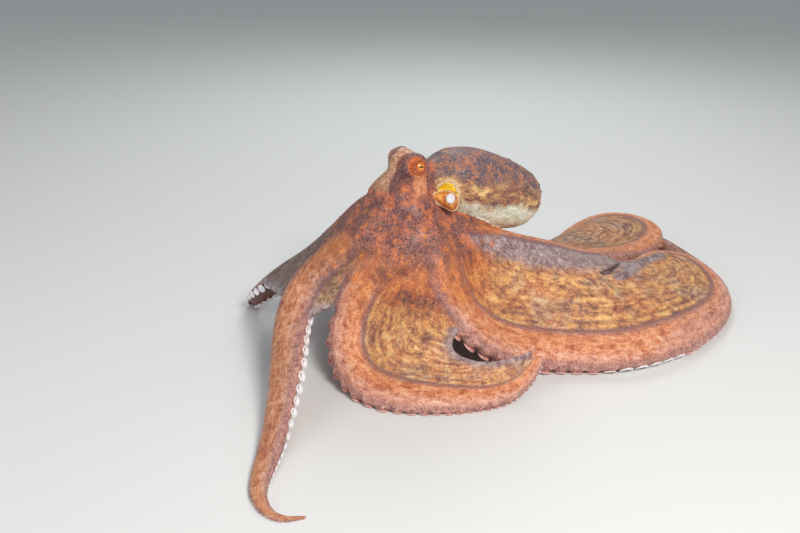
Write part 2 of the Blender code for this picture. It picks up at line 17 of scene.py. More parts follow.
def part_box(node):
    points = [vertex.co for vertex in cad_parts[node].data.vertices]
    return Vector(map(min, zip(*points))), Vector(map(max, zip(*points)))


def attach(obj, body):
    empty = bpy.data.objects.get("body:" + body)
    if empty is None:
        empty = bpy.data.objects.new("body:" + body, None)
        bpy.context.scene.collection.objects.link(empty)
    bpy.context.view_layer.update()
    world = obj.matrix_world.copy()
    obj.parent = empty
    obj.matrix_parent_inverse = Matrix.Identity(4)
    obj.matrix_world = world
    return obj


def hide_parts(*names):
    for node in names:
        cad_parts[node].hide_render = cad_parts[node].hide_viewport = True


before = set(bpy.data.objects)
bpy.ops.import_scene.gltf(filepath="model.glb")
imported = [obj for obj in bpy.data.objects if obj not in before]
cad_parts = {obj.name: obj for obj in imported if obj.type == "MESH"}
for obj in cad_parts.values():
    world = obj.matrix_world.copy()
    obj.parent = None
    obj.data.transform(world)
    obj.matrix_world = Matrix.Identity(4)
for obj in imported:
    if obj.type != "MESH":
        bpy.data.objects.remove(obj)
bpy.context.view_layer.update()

CM = 0.01
MM = 0.001
PLAN_TURN = math.radians(55)
VOXEL = 1.35 * MM

# ---------------------------------------------------------------------------------------------------------
# The body's named sizes.
CROWN_U, CROWN_V, CROWN_Z = 1.1 * CM, 0.5 * CM, 17.1 * CM
CROWN_RADIUS = 32 * MM
CROWN_LEAN = math.radians(24)
BASE_HALF_WIDTH, BASE_RISE, BASE_DEPTH = 11.0 * MM, 13.0 * MM, 14.0 * MM
BASE_RUN = 60 * MM
RISE_SHARE, DEPTH_SHARE = 0.50, 0.62
TIP_HALF_WIDTH = 2.2 * MM
WEB_THICKNESS = 4.6 * MM
PRESS_BLEND = 6 * MM
GAP = 0.4 * MM

ARMS = {
    "L1": dict(base=-140, half=20.0, taper=0.50, route=[
        (-3.7, -2.4, 14.2, -12), (-7.0, -2.9, 11.3, -38), (-10.4, -3.2, 8.0, -20), (-11.9, -6.3, 5.2, 16),
        (-12.0, -11.2, 2.9, 34), (-12.1, -15.8, 1.2, 34), (-12.4, -20.2, 0.2, 28), (-12.8, -24.6, -0.1, 18),
        (-12.6, -28.2, -0.1, 8), (-10.6, -30.6, -0.1, 0), (-8.2, -30.4, -0.1, 0)]),
    "L2": dict(base=-100, half=18.5, taper=0.55, tip=5.0, route=[
        (-0.6, -4.0, 13.0, -18), (-3.2, -4.6, 9.6, -55), (-5.0, -5.0, 6.3, -48), (-5.9, -6.2, 3.5, -8),
        (-5.2, -8.8, 1.0, 20), (-2.4, -11.8, -0.1, 26), (1.8, -13.2, -0.1, 28), (6.2, -13.2, -0.1, 28),
        (10.4, -12.2, 0.1, 26), (13.4, -10.6, 1.3, 24), (15.0, -9.4, 3.4, 18)]),
    "L3": dict(base=-50, half=22.5, taper=0.48, route=[
        (4.3, -4.4, 11.9, 0), (5.9, -5.9, 7.3, 12), (8.7, -6.0, 3.5, 26), (13.0, -5.1, 0.9, 34),
        (18.6, -4.6, -0.1, 34), (24.4, -4.5, -0.1, 34), (30.2, -2.2, -0.1, 32), (36.2, 2.8, -0.1, 30),
        (40.6, 9.0, -0.1, 28), (41.8, 15.0, 0.8, 24), (39.4, 19.4, 2.2, 16), (35.6, 19.2, 3.4, 8),
        (32.0, 16.2, 4.1, 2), (29.0, 13.3, 4.3, 0)]),
    "L4": dict(base=-2, half=17.0, taper=0.45, route=[
        (6.4, 0.9, 13.4, 0), (9.8, 2.3, 12.4, -8), (13.6, 4.4, 10.6, -12), (17.8, 7.2, 8.5, -14),
        (22.4, 11.2, 5.8, -12), (26.8, 15.8, 4.0, -8), (31.8, 21.0, 2.5, 0), (36.2, 26.0, 2.2, 8),
        (36.8, 31.0, 2.7, 12), (32.6, 33.6, 3.2, 10), (27.4, 32.4, 2.6, 4), (23.4, 29.6, 1.2, 0),
        (20.2, 27.0, 0.1, 0), (17.6, 25.6, -0.1, 0)]),
    "R4": dict(base=45, half=16.5, taper=0.42, route=[
        (4.8, 4.4, 12.0, 0), (7.8, 8.4, 8.0, 0), (10.8, 13.4, 4.4, 0), (13.2, 19.0, 1.6, 4),
        (13.6, 25.0, -0.1, 8), (10.6, 29.8, -0.1, 8), (6.2, 30.8, -0.1, 4), (3.2, 28.0, -0.1, 0)]),
    "R3": dict(base=92, half=16.5, taper=0.42, route=[
        (1.0, 4.8, 13.0, 0), (0.6, 9.6, 8.6, 0), (-0.4, 15.4, 4.6, 0), (-1.8, 21.4, 1.6, 4),
        (-3.2, 27.2, -0.1, 8), (-1.8, 32.8, -0.1, 8), (2.4, 36.0, -0.1, 4), (6.8, 36.4, -0.1, 0)]),
    "R2": dict(base=136, half=16.5, taper=0.42, route=[
        (-2.2, 4.2, 14.0, 0), (-5.4, 8.2, 9.6, 0), (-8.4, 12.6, 5.0, 0), (-10.8, 17.4, 1.7, 4),
        (-12.4, 22.4, -0.1, 8), (-12.4, 27.4, -0.1, 8), (-9.8, 31.4, -0.1, 4), (-6.2, 33.4, -0.1, 0)]),
    "R1": dict(base=178, half=15.5, taper=0.50, route=[
        (-3.9, 1.5, 16.0, 0), (-6.8, 3.0, 13.2, 8), (-10.0, 4.2, 9.4, 20), (-13.4, 5.8, 5.9, 38),
        (-16.6, 7.2, 2.9, 55), (-18.4, 9.4, 0.8, 50), (-18.2, 12.8, -0.1, 30), (-16.2, 14.8, -0.1, 10),
        (-14.0, 13.4, -0.1, 0)]),
}
RING = ["L1", "L2", "L3", "L4", "R4", "R3", "R2", "R1"]
WEBS = {
    ("L1", "L2"): dict(first=0.35, second=0.31, belly=(0.10, 0.02)),
    ("L2", "L3"): dict(first=0.96, second=0.13, belly=(0.14, -0.04), shared=0.40, margin=[
        (5.7, -8.7, 4.5), (7.9, -9.7, 3.7), (10.8, -10.0, 3.9), (13.0, -9.6, 4.3), (14.2, -9.0, 4.6)]),
    ("L3", "L4"): dict(first=0.94, second=0.355, belly=(0.08, 0.0), shared=0.60, margin=[
        (25.1, 11.0, 6.2), (25.6, 10.3, 5.5), (26.5, 10.1, 5.2)]),
    ("L4", "R4"): dict(first=0.88, second=0.44, belly=(0.06, 0.02), shared=0.46, margin=[
        (15.6, 19.2, 3.4), (18.2, 22.4, 2.6), (21.4, 25.8, 2.1)]),
    ("R4", "R3"): dict(first=0.45, second=0.42, belly=(0.08, -0.06)),
    ("R3", "R2"): dict(first=0.40, second=0.42, belly=(0.08, -0.06)),
    ("R2", "R1"): dict(first=0.42, second=0.48, belly=(0.08, -0.04)),
    ("R1", "L1"): dict(first=0.62, second=0.34, belly=(0.10, 0.0)),
}
EYE_BUMPS = {"L": (1.55, -0.95, 22.55), "R": (0.10, 1.45, 22.60)}
EYE_BUMP_RADIUS = 14.2 * MM
HEAD_MIDDLE = (1.1, 0.4, 20.9)
EYE_RADIUS = 8.2 * MM
EYE_OUT = 7.6 * MM
EYE_RISE = math.radians(16)
NECK = [(1.3, 0.5, 18.3, 31.0), (1.1, 0.45, 20.2, 24.5), (1.0, 0.35, 22.2, 17.0)]
MANTLE = [
    (2.6, 1.2, 21.0, 17, 17), (4.8, 2.5, 20.2, 30, 29), (7.6, 4.4, 18.9, 41, 38), (10.6, 6.4, 17.3, 45, 42),
    (13.2, 8.2, 16.0, 40, 38), (14.9, 9.4, 15.2, 29, 29), (16.1, 10.2, 14.6, 13, 14)]

# The camera stands off the left side, a little above, at the height from which the body was seen.
CAMERA_AT = (0.0, -0.92345, 0.51579)
CAMERA_LOOKS_AT = (0.0, -0.03, 0.118)
LENS = 40.0


def plan(u, v, z):
    """A point of the plan (metres), in the body's own axes before the origin is moved."""
    c, s = math.cos(PLAN_TURN), math.sin(PLAN_TURN)
    return np.array([u * c - v * s, u * s + v * c, z])


def to_plan(point):
    return plan(point[0] * CM, point[1] * CM, point[2] * CM)


def unit(vector):
    return vector / np.linalg.norm(vector)


def smooth(t):
    t = np.clip(t, 0.0, 1.0)
    return t * t * (3 - 2 * t)


SPAN = 24


def spline(points, per_span=SPAN):
    """A natural cubic curve through the points, as a fine polyline with its arc length."""
    points = np.asarray(points, float)
    knots = np.concatenate([[0], np.cumsum(np.linalg.norm(np.diff(points[:, :3], axis=0), axis=1))])
    n, h = len(points), np.diff(knots)
    system, right = np.eye(n), np.zeros_like(points)
    for i in range(1, n - 1):
        system[i, i - 1 : i + 2] = h[i - 1], 2 * (h[i - 1] + h[i]), h[i]
        right[i] = 6 * ((points[i + 1] - points[i]) / h[i] - (points[i] - points[i - 1]) / h[i - 1])
    second = np.linalg.solve(system, right)
    found = []
    for i in range(n - 1):
        for j in range(per_span + (i == n - 2)):
            b = j / per_span
            a = 1 - b
            found.append(a * points[i] + b * points[i + 1]
                         + ((a**3 - a) * second[i] + (b**3 - b) * second[i + 1]) * h[i] ** 2 / 6)
    found = np.array(found)
    length = np.concatenate([[0], np.cumsum(np.linalg.norm(np.diff(found[:, :3], axis=0), axis=1))])
    return found, length


CROWN = plan(CROWN_U, CROWN_V, CROWN_Z)
CROWN_AXIS = unit(plan(math.sin(CROWN_LEAN), 0, math.cos(CROWN_LEAN)))
CROWN_X = unit(plan(math.cos(CROWN_LEAN), 0, -math.sin(CROWN_LEAN)))
CROWN_Y = np.cross(CROWN_AXIS, CROWN_X)


def crown_direction(degrees):
    angle = math.radians(degrees)
    return math.cos(angle) * CROWN_X + math.sin(angle) * CROWN_Y


class Arm:
    """An arm's route and its section anywhere along it."""

    def __init__(self, name, base, half, taper, route, tip=TIP_HALF_WIDTH / MM):
        self.name, self.out, self.tip = name, crown_direction(base), tip * MM
        start = CROWN + self.out * (CROWN_RADIUS + GAP)
        self.half, self.taper = half * MM, taper
        points = [(*start, 0.0)] + [(*plan(u * CM, v * CM, clear * CM), lean) for u, v, clear, lean in route]
        for _ in range(4):
            self.curve, self.run = spline(points)
            self.length = self.run[-1]
            knots = self.run[::SPAN]
            for i, (u, v, clear, lean) in enumerate(route, 1):
                a, rise, depth = self.section(knots[i], self.length)
                tilt = math.radians(abs(lean))
                height = clear * CM + depth * math.cos(tilt) + 0.8 * a * math.sin(tilt)
                points[i] = (*plan(u * CM, v * CM, height), lean)
        self.curve, self.run = spline(points)
        self.length = self.run[-1]
        stations = [0.0]
        while stations[-1] < self.length:
            a = self.section(stations[-1], self.length)[0]
            stations.append(stations[-1] + 0.85 * a + 6.5 * MM)
        self.stations = np.array(stations[:-1]) * (self.length / stations[-2])

    def section(self, s, length):
        q = np.clip(s / length, 0, 1)
        shrink = 1 - np.clip((q - self.taper) / (1 - self.taper), 0, 1) ** 1.15
        full = self.tip + (self.half - self.tip) * shrink
        t = smooth(s / BASE_RUN)
        a = BASE_HALF_WIDTH + (full - BASE_HALF_WIDTH) * t
        rise = BASE_RISE + (RISE_SHARE * full - BASE_RISE) * t
        depth = BASE_DEPTH + (DEPTH_SHARE * full - BASE_DEPTH) * t
        return a, rise, depth

    def frame(self, s):
        """Point, side, back and tangent at s."""
        p = np.array([np.interp(s, self.run, self.curve[:, i]) for i in range(4)])
        ahead = np.array([np.interp(min(s + 2 * MM, self.length), self.run, self.curve[:, i]) for i in range(3)])
        behind = np.array([np.interp(max(s - 2 * MM, 0), self.run, self.curve[:, i]) for i in range(3)])
        tangent = unit(ahead - behind)
        up = np.array([0, 0, 1.0])
        if s < BASE_RUN:
            up = unit(CROWN_AXIS * (1 - s / BASE_RUN) + up * (s / BASE_RUN))
        back = unit(up - tangent * np.dot(up, tangent))
        side = np.cross(back, tangent)
        tilt = math.radians(p[3])
        back, side = back * math.cos(tilt) - side * math.sin(tilt), side * math.cos(tilt) + back * math.sin(tilt)
        return p[:3], side, back, tangent

    def ring(self, s):
        point, side, back, _ = self.frame(s)
        a, rise, depth = self.section(s, self.length)
        web = min(WEB_THICKNESS, 0.55 * a)
        outline = [(0, rise), (-0.60 * a, 0.80 * rise), (-a, web / 2), (-a, -web / 2), (-0.78 * a, -depth),
                   (0.78 * a, -depth), (a, -web / 2), (a, web / 2), (0.60 * a, 0.80 * rise)]
        ring = np.array([point + x * side + z * back for x, z in outline])
        pressed = 1 - smooth(ring[:, 2].min() / PRESS_BLEND)
        ring[4:6, 2] *= 1 - pressed
        ring[:, 2] = np.maximum(ring[:, 2], 0.0)
        return ring, side, back, point

    def station(self, k):
        """Where a fractional station number lies along the arm."""
        return float(np.interp(k, np.arange(len(self.stations)), self.stations))


arms = {name: Arm(name, **spec) for name, spec in ARMS.items()}

# Eye middles, and the shift that puts the origin under the middle of the animal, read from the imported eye.
LEFTWARD = np.array([1.0, 0, 0])


def eye_axis(side):
    out = LEFTWARD if side == "L" else -LEFTWARD
    return unit(out * math.cos(EYE_RISE) + np.array([0, -0.12, math.sin(EYE_RISE)]))


eye_middle = {side: to_plan(EYE_BUMPS[side]) + eye_axis(side) * EYE_OUT for side in EYE_BUMPS}
low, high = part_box("eye_L")
SHIFT = np.array([*(eye_middle["L"] - (np.array(low) + np.array(high)) / 2)[:2], 0.0])

# ---------------------------------------------------------------------------------------------------------
# The source shapes: each is a closed mesh with fields at its points that later drive the colours.
FIELDS = ["arm", "web", "head", "mantle", "funnel", "cavity", "lip", "mouth", "under", "rim", "ridge", "seam",
          "edge", "tone", "across", "dull", "tan", "far", "cool", "free", "s", "t"]
# Per arm: how much painted shade it gets for facing away from the light, how tan it is, and how much more painted shade
# it gets for lying far from the light.
ARM_TINT = {"L1": (0.20, 0.35, 0.10), "L2": (0.0, 0.0, 0.0), "L3": (0.0, 0.0, 0.0), "L4": (0.0, 0.05, 0.0),
            "R4": (0.30, 0.3, 0.6), "R3": (0.35, 0.3, 0.8), "R2": (0.45, 0.3, 0.8), "R1": (0.86, 0.4, 0.6)}
COLUMN = {name: i for i, name in enumerate(FIELDS)}
sources = []


def add_source(points, faces, **fields):
    values = np.zeros((len(points), len(FIELDS)))
    for name, value in fields.items():
        values[:, COLUMN[name]] = value
    sources.append((np.asarray(points, float), faces, values))


def corner_cut(ring, rounds=2):
    """Rounds a closed loop of points (and whatever rides with them) without leaving its outline."""
    for _ in range(rounds):
        after = np.roll(ring, -1, axis=0)
        ring = np.stack([0.75 * ring + 0.25 * after, 0.25 * ring + 0.75 * after], axis=1).reshape(-1, ring.shape[1])
    return ring


def loft_faces(count, rows):
    faces = []
    for i in range(rows - 1):
        for j in range(count):
            k = (j + 1) % count
            faces.append((i * count + j, i * count + k, (i + 1) * count + k, (i + 1) * count + j))
    faces.append(tuple(range(count))[::-1])
    faces.append(tuple(range((rows - 1) * count, rows * count)))
    return faces


RING_FIELDS = {
    "ridge": [1, 0.72, 0.0, 0.0, 0, 0, 0.0, 0.0, 0.72],
    "under": [0, 0, 0.05, 0.55, 1, 1, 0.55, 0.05, 0],
    "rim": [0, 0.30, 0.85, 1.0, 0.5, 0.5, 1.0, 0.85, 0.30],
    "seam": [0, 0.10, 1.0, 0.6, 0, 0, 0.6, 1.0, 0.10],
}


def arm_source(arm, number):
    count = int(math.ceil(arm.length / (3 * MM)))
    rows, s_rows = [], []
    for s in np.linspace(0, arm.length, count + 1):
        ring = arm.ring(s)[0]
        around = np.concatenate([[0], np.cumsum(np.linalg.norm(np.diff(ring, axis=0), axis=1))])
        carried = np.column_stack([ring] + [RING_FIELDS[f] for f in ("ridge", "under", "rim", "seam")])
        # The place round the section is carried as an angle, so that it closes on itself.
        angle = around / (around[-1] + np.linalg.norm(ring[0] - ring[-1])) * 2 * math.pi
        carried = np.column_stack([carried, np.cos(angle), np.sin(angle)])
        rows.append(corner_cut(carried))
        s_rows.append(s)
    n = len(rows[0])
    last = rows[-1]
    middle = last[:, :3].mean(axis=0)
    _, _, _, tangent = arm.frame(arm.length)
    for shrink, ahead in ((0.75, 0.35), (0.35, 0.6)):
        tip = last.copy()
        tip[:, :3] = middle + (last[:, :3] - middle) * shrink + tangent * ahead * arm.tip
        tip[:, 2] = np.maximum(tip[:, 2], 0)
        rows.append(tip)
        s_rows.append(arm.length)
    stack = np.concatenate(rows)
    s_all = np.repeat(s_rows, n)
    half = np.array([arm.section(s, arm.length)[0] for s in s_rows]).repeat(n)
    angle = np.arctan2(stack[:, 8], stack[:, 7])
    add_source(stack[:, :3], loft_faces(n, len(rows)), arm=1, ridge=stack[:, 3], under=stack[:, 4], rim=stack[:, 5],
               seam=stack[:, 6], s=s_all, t=number * 0.31 + abs(angle) * half,
               across=np.interp(np.cos(angle), (-1, 1), (1, 0)), dull=ARM_TINT[arm.name][0], tan=ARM_TINT[arm.name][1],
               far=ARM_TINT[arm.name][2],
               free={"L2": 0.66, "L4": -0.10}.get(arm.name, 0.5) + 0.5 * np.sin(angle) * {"L1": -1, "L2": 1, "L3": 1, "L4": 0.3}.get(arm.name, 0.0))


def web_source(first, second, spec, number):
    """The panel of web, drawn finely and run on into both arms and up to the crown."""
    last = [int(np.argmin(abs(arm.stations - share * arm.length)))
            for arm, share in ((first, spec["first"]), (second, spec["second"]))]

    def parted(k):
        one, two = first.ring(first.stations[k])[0], second.ring(second.stations[k])[0]
        side = first.ring(first.stations[k])[1]
        return all(np.dot(two[j] - one[i], side) > 3 * MM for i, j in ((7, 2), (6, 3)))

    start = next(k for k in range(1, 9) if all(parted(j) for j in range(k, min(k + 3, last[0] + 1, last[1] + 1))))
    n_left, n_right = last[0] + 1 - start, last[1] + 1 - start
    margin = None
    if "margin" in spec:
        shared = round(n_left * spec["shared"])
        ring = second.ring(second.stations[last[1]])[0]
        route = [(ring[2] + ring[3]) / 2] + [plan(u * CM, v * CM, z * CM) for u, v, z in spec["margin"]]
        margin, margin_run = spline(route)
        total = n_left - 1
    else:
        total = max(n_left, n_right) - 1

    def edges(i):
        """Both long edges at row i, negative towards the crown: points, backs, place along each arm."""
        if i < 0:
            k_left = k_right = start + i
            free = False
        elif margin is not None:
            k_left = start + i
            free = i > shared - 1
            k_right = start + min(i, shared - 1) * (n_right - 1) / (shared - 1)
        else:
            k_left, k_right = start + i * (n_left - 1) / total, start + i * (n_right - 1) / total
            free = False
        s_left = first.station(k_left)
        ring, side, back, point = first.ring(s_left)
        left = (ring[7], ring[6], back, point, s_left)
        if free:
            run = (i - shared + 1) / (n_left - shared) * margin_run[-1]
            middle = np.array([np.interp(run, margin_run, margin[:, c]) for c in range(3)])
            half = 0.45 * WEB_THICKNESS
            right = (middle + half * back, middle - half * back, back, middle, s_left)
        else:
            s_right = second.station(k_right)
            ring, side, back, point = second.ring(s_right)
            right = (ring[2], ring[3], back, point, s_right)
        return left, right, free

    across = 16
    rows = []
    i = -float(start)
    tops, lows, values = [], [], []
    steps = np.arange(-float(start), total + 1e-6, 0.2)
    if steps[-1] < total:
        steps = np.append(steps, total)
    for i in steps:
        left, right, free = edges(i)
        width = np.linalg.norm(right[0] - left[0])
        normal = unit(left[2] + right[2])
        share = max(i, 0) / max(total, 1)
        grow = smooth((i + start) / max(start, 1))
        belly = (spec["belly"][0] * (1 - share) + spec["belly"][1] * share) * width * grow
        columns = [(-0.55, left)] + [(j / across, None) for j in range(across + 1)] + [(-0.55, right)]
        top_row, low_row, value_row = [], [], []
        for j, (t, inner) in enumerate(columns):
            if inner is not None:
                if inner is right and free:
                    # The free margin ends in a rounded bead.
                    out = unit(right[3] - (left[0] + left[1]) / 2)
                    top = right[3] + out * 1.2 * MM + 0.5 * MM * normal
                    low = right[3] + out * 1.2 * MM - 0.5 * MM * normal
                    edge = 0.0
                else:
                    edge_top, edge_low = inner[0], inner[1]
                    top = edge_top + (inner[3] - edge_top) * 0.75
                    low = edge_low + (inner[3] - edge_low) * 0.75
                    edge = 1.0
                tt = 0.0 if inner is left else 1.0
            else:
                tt = t
                lift = belly * 4 * t * (1 - t) * normal
                top = left[0] * (1 - t) + right[0] * t + lift
                low = left[1] * (1 - t) + right[1] * t + lift
                thin = 0.22 * 4 * t * (1 - t)
                middle = (top + low) / 2
                top, low = top + (middle - top) * thin, low + (middle - low) * thin
                edge = 1.0
            top_row.append(top)
            low_row.append(low)
            from_edge = (1 - tt) * width if free else 1.0
            end_gap = (total - i) * 14 * MM if margin is None else 1.0
            free_edge = math.exp(-min(from_edge, end_gap) / (8 * MM))
            to_left, to_right = tt * width, (1 - tt) * width
            seam = math.exp(-(to_left / (4.5 * MM)) ** 2) + (0 if free else math.exp(-(to_right / (4.5 * MM)) ** 2))
            value_row.append((seam, free_edge, left[4], number * 0.47 + tt * width + 0.2, tt))
        tops.append(top_row)
        lows.append(low_row)
        values.append(value_row)
    n_rows, n_cols = len(tops), len(tops[0])
    tops, lows, values = np.array(tops), np.array(lows), np.array(values)
    for grid in (tops, lows):
        grid[:, :, 2] = np.maximum(grid[:, :, 2], 0.2 * MM)
    points = np.concatenate([tops.reshape(-1, 3), lows.reshape(-1, 3)])
    base = n_rows * n_cols
    faces = []
    for r in range(n_rows - 1):
        for c in range(n_cols - 1):
            a, b, d, e = r * n_cols + c, (r + 1) * n_cols + c, (r + 1) * n_cols + c + 1, r * n_cols + c + 1
            faces.append((a, b, d, e))
            faces.append((base + a, base + e, base + d, base + b))
        a, b = r * n_cols, (r + 1) * n_cols
        faces.append((a, base + a, base + b, b))
        a, b = r * n_cols + n_cols - 1, (r + 1) * n_cols + n_cols - 1
        faces.append((a, b, base + b, base + a))
    for c in range(n_cols - 1):
        faces.append((c, c + 1, base + c + 1, base + c))
        a = (n_rows - 1) * n_cols + c
        faces.append((a, base + a, base + a + 1, a + 1))
    flat = values.reshape(-1, 5)
    both = np.concatenate([flat, flat])
    under = np.concatenate([np.zeros(base), np.ones(base)])
    # A panel takes its two arms' mean painted shade, tan and far-side painted shade; the two left-side panels get their
    # own.
    tint = [(a + b) / 2 for a, b in zip(ARM_TINT[first.name], ARM_TINT[second.name])]
    if (first.name, second.name) == ("L1", "L2"):
        tint = (0.35, 0.9, 0.2)
    if (first.name, second.name) == ("R1", "L1"):
        tint = (0.85, 0.5, 0.3)
    # How grey-blue the panel is from its first arm to its second.
    cool = {("L3", "L4"): lambda x: smooth((x - 0.48) / 0.36), ("L1", "L2"): lambda x: 0.45 * np.ones_like(x),
            ("R1", "L1"): lambda x: 0.55 + 0.3 * x, ("L4", "R4"): lambda x: 0.25 + 0.5 * smooth((x - 0.6) / 0.3),
            }.get((first.name, second.name), lambda x: 0.2 * np.ones_like(x))
    add_source(points, faces, web=1, seam=both[:, 0] * (1 - under), edge=both[:, 1], under=under * 0.9, s=both[:, 2],
               t=both[:, 3], across=both[:, 4], dull=tint[0], tan=tint[1], far=tint[2], cool=cool(both[:, 4]))


def smooth_least(values, soft):
    """A smooth least of distance arrays, so that shapes run into each other."""
    values = np.asarray(values)
    least = values.min(axis=0)
    return least - soft * np.log(np.exp(-(values - least) / soft).sum(axis=0))


def segment_distance(points, a, b, ra, rb):
    t = np.clip(((points - a) @ (b - a)) / np.dot(b - a, b - a), 0, 1)
    return np.linalg.norm(points - a - t[:, None] * (b - a), axis=1) - (ra + (rb - ra) * t)


def head_distance(points):
    found = [np.linalg.norm(points - to_plan(c), axis=1) - EYE_BUMP_RADIUS for c in EYE_BUMPS.values()]
    for (u0, v0, z0, r0), (u1, v1, z1, r1) in zip(NECK, NECK[1:]):
        found.append(segment_distance(points, to_plan((u0, v0, z0)), to_plan((u1, v1, z1)), r0 * MM, r1 * MM))
    found.append(segment_distance(points, to_plan((1.6, 0.6, 21.4)), to_plan(MANTLE[1][:3]), 16 * MM, 20 * MM))
    return smooth_least(found, 2.6 * MM)


def sphere_grid(segments, rings):
    """Directions over a ball, and its faces."""
    points = [(0, 0, 1.0)]
    for i in range(1, rings):
        theta = math.pi * i / rings
        for j in range(segments):
            phi = 2 * math.pi * j / segments
            points.append((math.sin(theta) * math.cos(phi), math.sin(theta) * math.sin(phi), math.cos(theta)))
    points.append((0, 0, -1.0))
    faces = [(0, 1 + j, 1 + (j + 1) % segments) for j in range(segments)]
    for i in range(rings - 2):
        a, b = 1 + i * segments, 1 + (i + 1) * segments
        for j in range(segments):
            k = (j + 1) % segments
            faces.append((a + j, b + j, b + k, a + k))
    end = len(points) - 1
    a = 1 + (rings - 2) * segments
    faces += [(a + j, end, a + (j + 1) % segments) for j in range(segments)]
    return np.array(points), faces


def head_source():
    rays, faces = sphere_grid(96, 64)
    middle = to_plan(HEAD_MIDDLE)
    near, far = np.zeros(len(rays)), np.full(len(rays), 0.09)
    for _ in range(22):
        mid = (near + far) / 2
        inside = head_distance(middle + rays * mid[:, None]) < 0
        near, far = np.where(inside, mid, near), np.where(inside, far, mid)
    add_source(middle + rays * near[:, None], faces, head=1, s=0.0, t=0.0)


def core_source():
    def ring(height, radius, sides):
        outs = [arms[name].out for name in RING]
        found = []
        for i in range(len(RING)):
            one, two, before_one = outs[i], outs[(i + 1) % len(RING)], outs[i - 1]
            corner = unit(one + two) / math.cos(math.acos(np.clip(np.dot(one, two), -1, 1)) / 2)
            before = unit(before_one + one) / math.cos(math.acos(np.clip(np.dot(before_one, one), -1, 1)) / 2)
            for t in (0.0, 1 / 3, 2 / 3):
                edge = before * (1 - t) + corner * t
                out = unit(edge) * (1 - sides) + edge * sides
                found.append(CROWN + CROWN_AXIS * height + out * radius)
        return found
    top = BASE_RISE
    rings = [
        ring(-BASE_DEPTH - 1 * MM, 9 * MM, 0.0), ring(-BASE_DEPTH - 3 * MM, 13 * MM, 0.0),
        ring(-BASE_DEPTH - 1 * MM, 20 * MM, 0.5), ring(-BASE_DEPTH, CROWN_RADIUS + 2 * MM, 1.0),
        ring(top - 1 * MM, CROWN_RADIUS + 2 * MM, 1.0), ring(top + 4 * MM, CROWN_RADIUS - 2 * MM, 0.6),
        ring(top + 9 * MM, 22 * MM, 0.0)]
    n = len(rings[0])
    under = np.repeat([1, 1, 1, 1, 0, 0, 0], n)
    add_source(np.concatenate(rings), loft_faces(n, len(rings)), head=1, under=under, s=0.0)


mantle_rows = np.array([(*to_plan(row[:3]), row[3] * MM, row[4] * MM) for row in MANTLE])
mantle_curve, mantle_run = spline(mantle_rows)


def mantle_frame(s):
    p = np.array([np.interp(s, mantle_run, mantle_curve[:, i]) for i in range(5)])
    a = np.array([np.interp(max(s - 2 * MM, 0), mantle_run, mantle_curve[:, i]) for i in range(3)])
    b = np.array([np.interp(min(s + 2 * MM, mantle_run[-1]), mantle_run, mantle_curve[:, i]) for i in range(3)])
    tangent = unit(b - a)
    side = unit(np.cross(tangent, (0, 0, 1)))
    return p, side, np.cross(side, tangent), tangent


def mesh_object(name, points, faces):
    mesh = bpy.data.meshes.new(name)
    mesh.from_pydata([tuple(p) for p in points], [], faces)
    mesh.update()
    obj = bpy.data.objects.new(name, mesh)
    bpy.context.scene.collection.objects.link(obj)
    return obj


def evaluated_mesh(obj):
    graph = bpy.context.evaluated_depsgraph_get()
    return bpy.data.meshes.new_from_object(obj.evaluated_get(graph))


def mesh_arrays(mesh):
    points = np.empty(len(mesh.vertices) * 3)
    mesh.vertices.foreach_get("co", points)
    return points.reshape(-1, 3), [tuple(p.vertices) for p in mesh.polygons]


# The mantle's opening: a rounded triangle seen from the left front, with its own axes.
CAMERA_POINT = plan(*CAMERA_AT)
OPENING_AT = to_plan((4.75, -1.1, 19.25))
OPENING_OUT = unit(CAMERA_POINT - OPENING_AT)
OPENING_RIGHT = unit(np.cross((0, 0, 1.0), OPENING_OUT))
OPENING_UP = np.cross(OPENING_OUT, OPENING_RIGHT)
OPENING_SHAPE = [(-17.5, 0.5), (-9.0, 8.5), (0.0, 15.5), (8.0, 16.0), (13.5, 9.0), (15.0, 0.0), (12.0, -9.5),
                 (7.5, -16.5), (-1.0, -13.0), (-10.5, -5.5)]  # mm, right and up


def opening_outline(count=72):
    loop = np.array(OPENING_SHAPE) * MM
    for _ in range(3):
        loop = corner_cut(loop, 1)
    run = np.concatenate([[0], np.cumsum(np.linalg.norm(np.diff(np.vstack([loop, loop[:1]]), axis=0), axis=1))])
    closed = np.vstack([loop, loop[:1]])
    at = np.arange(count) / count * run[-1]
    return np.column_stack([np.interp(at, run, closed[:, 0]), np.interp(at, run, closed[:, 1])])


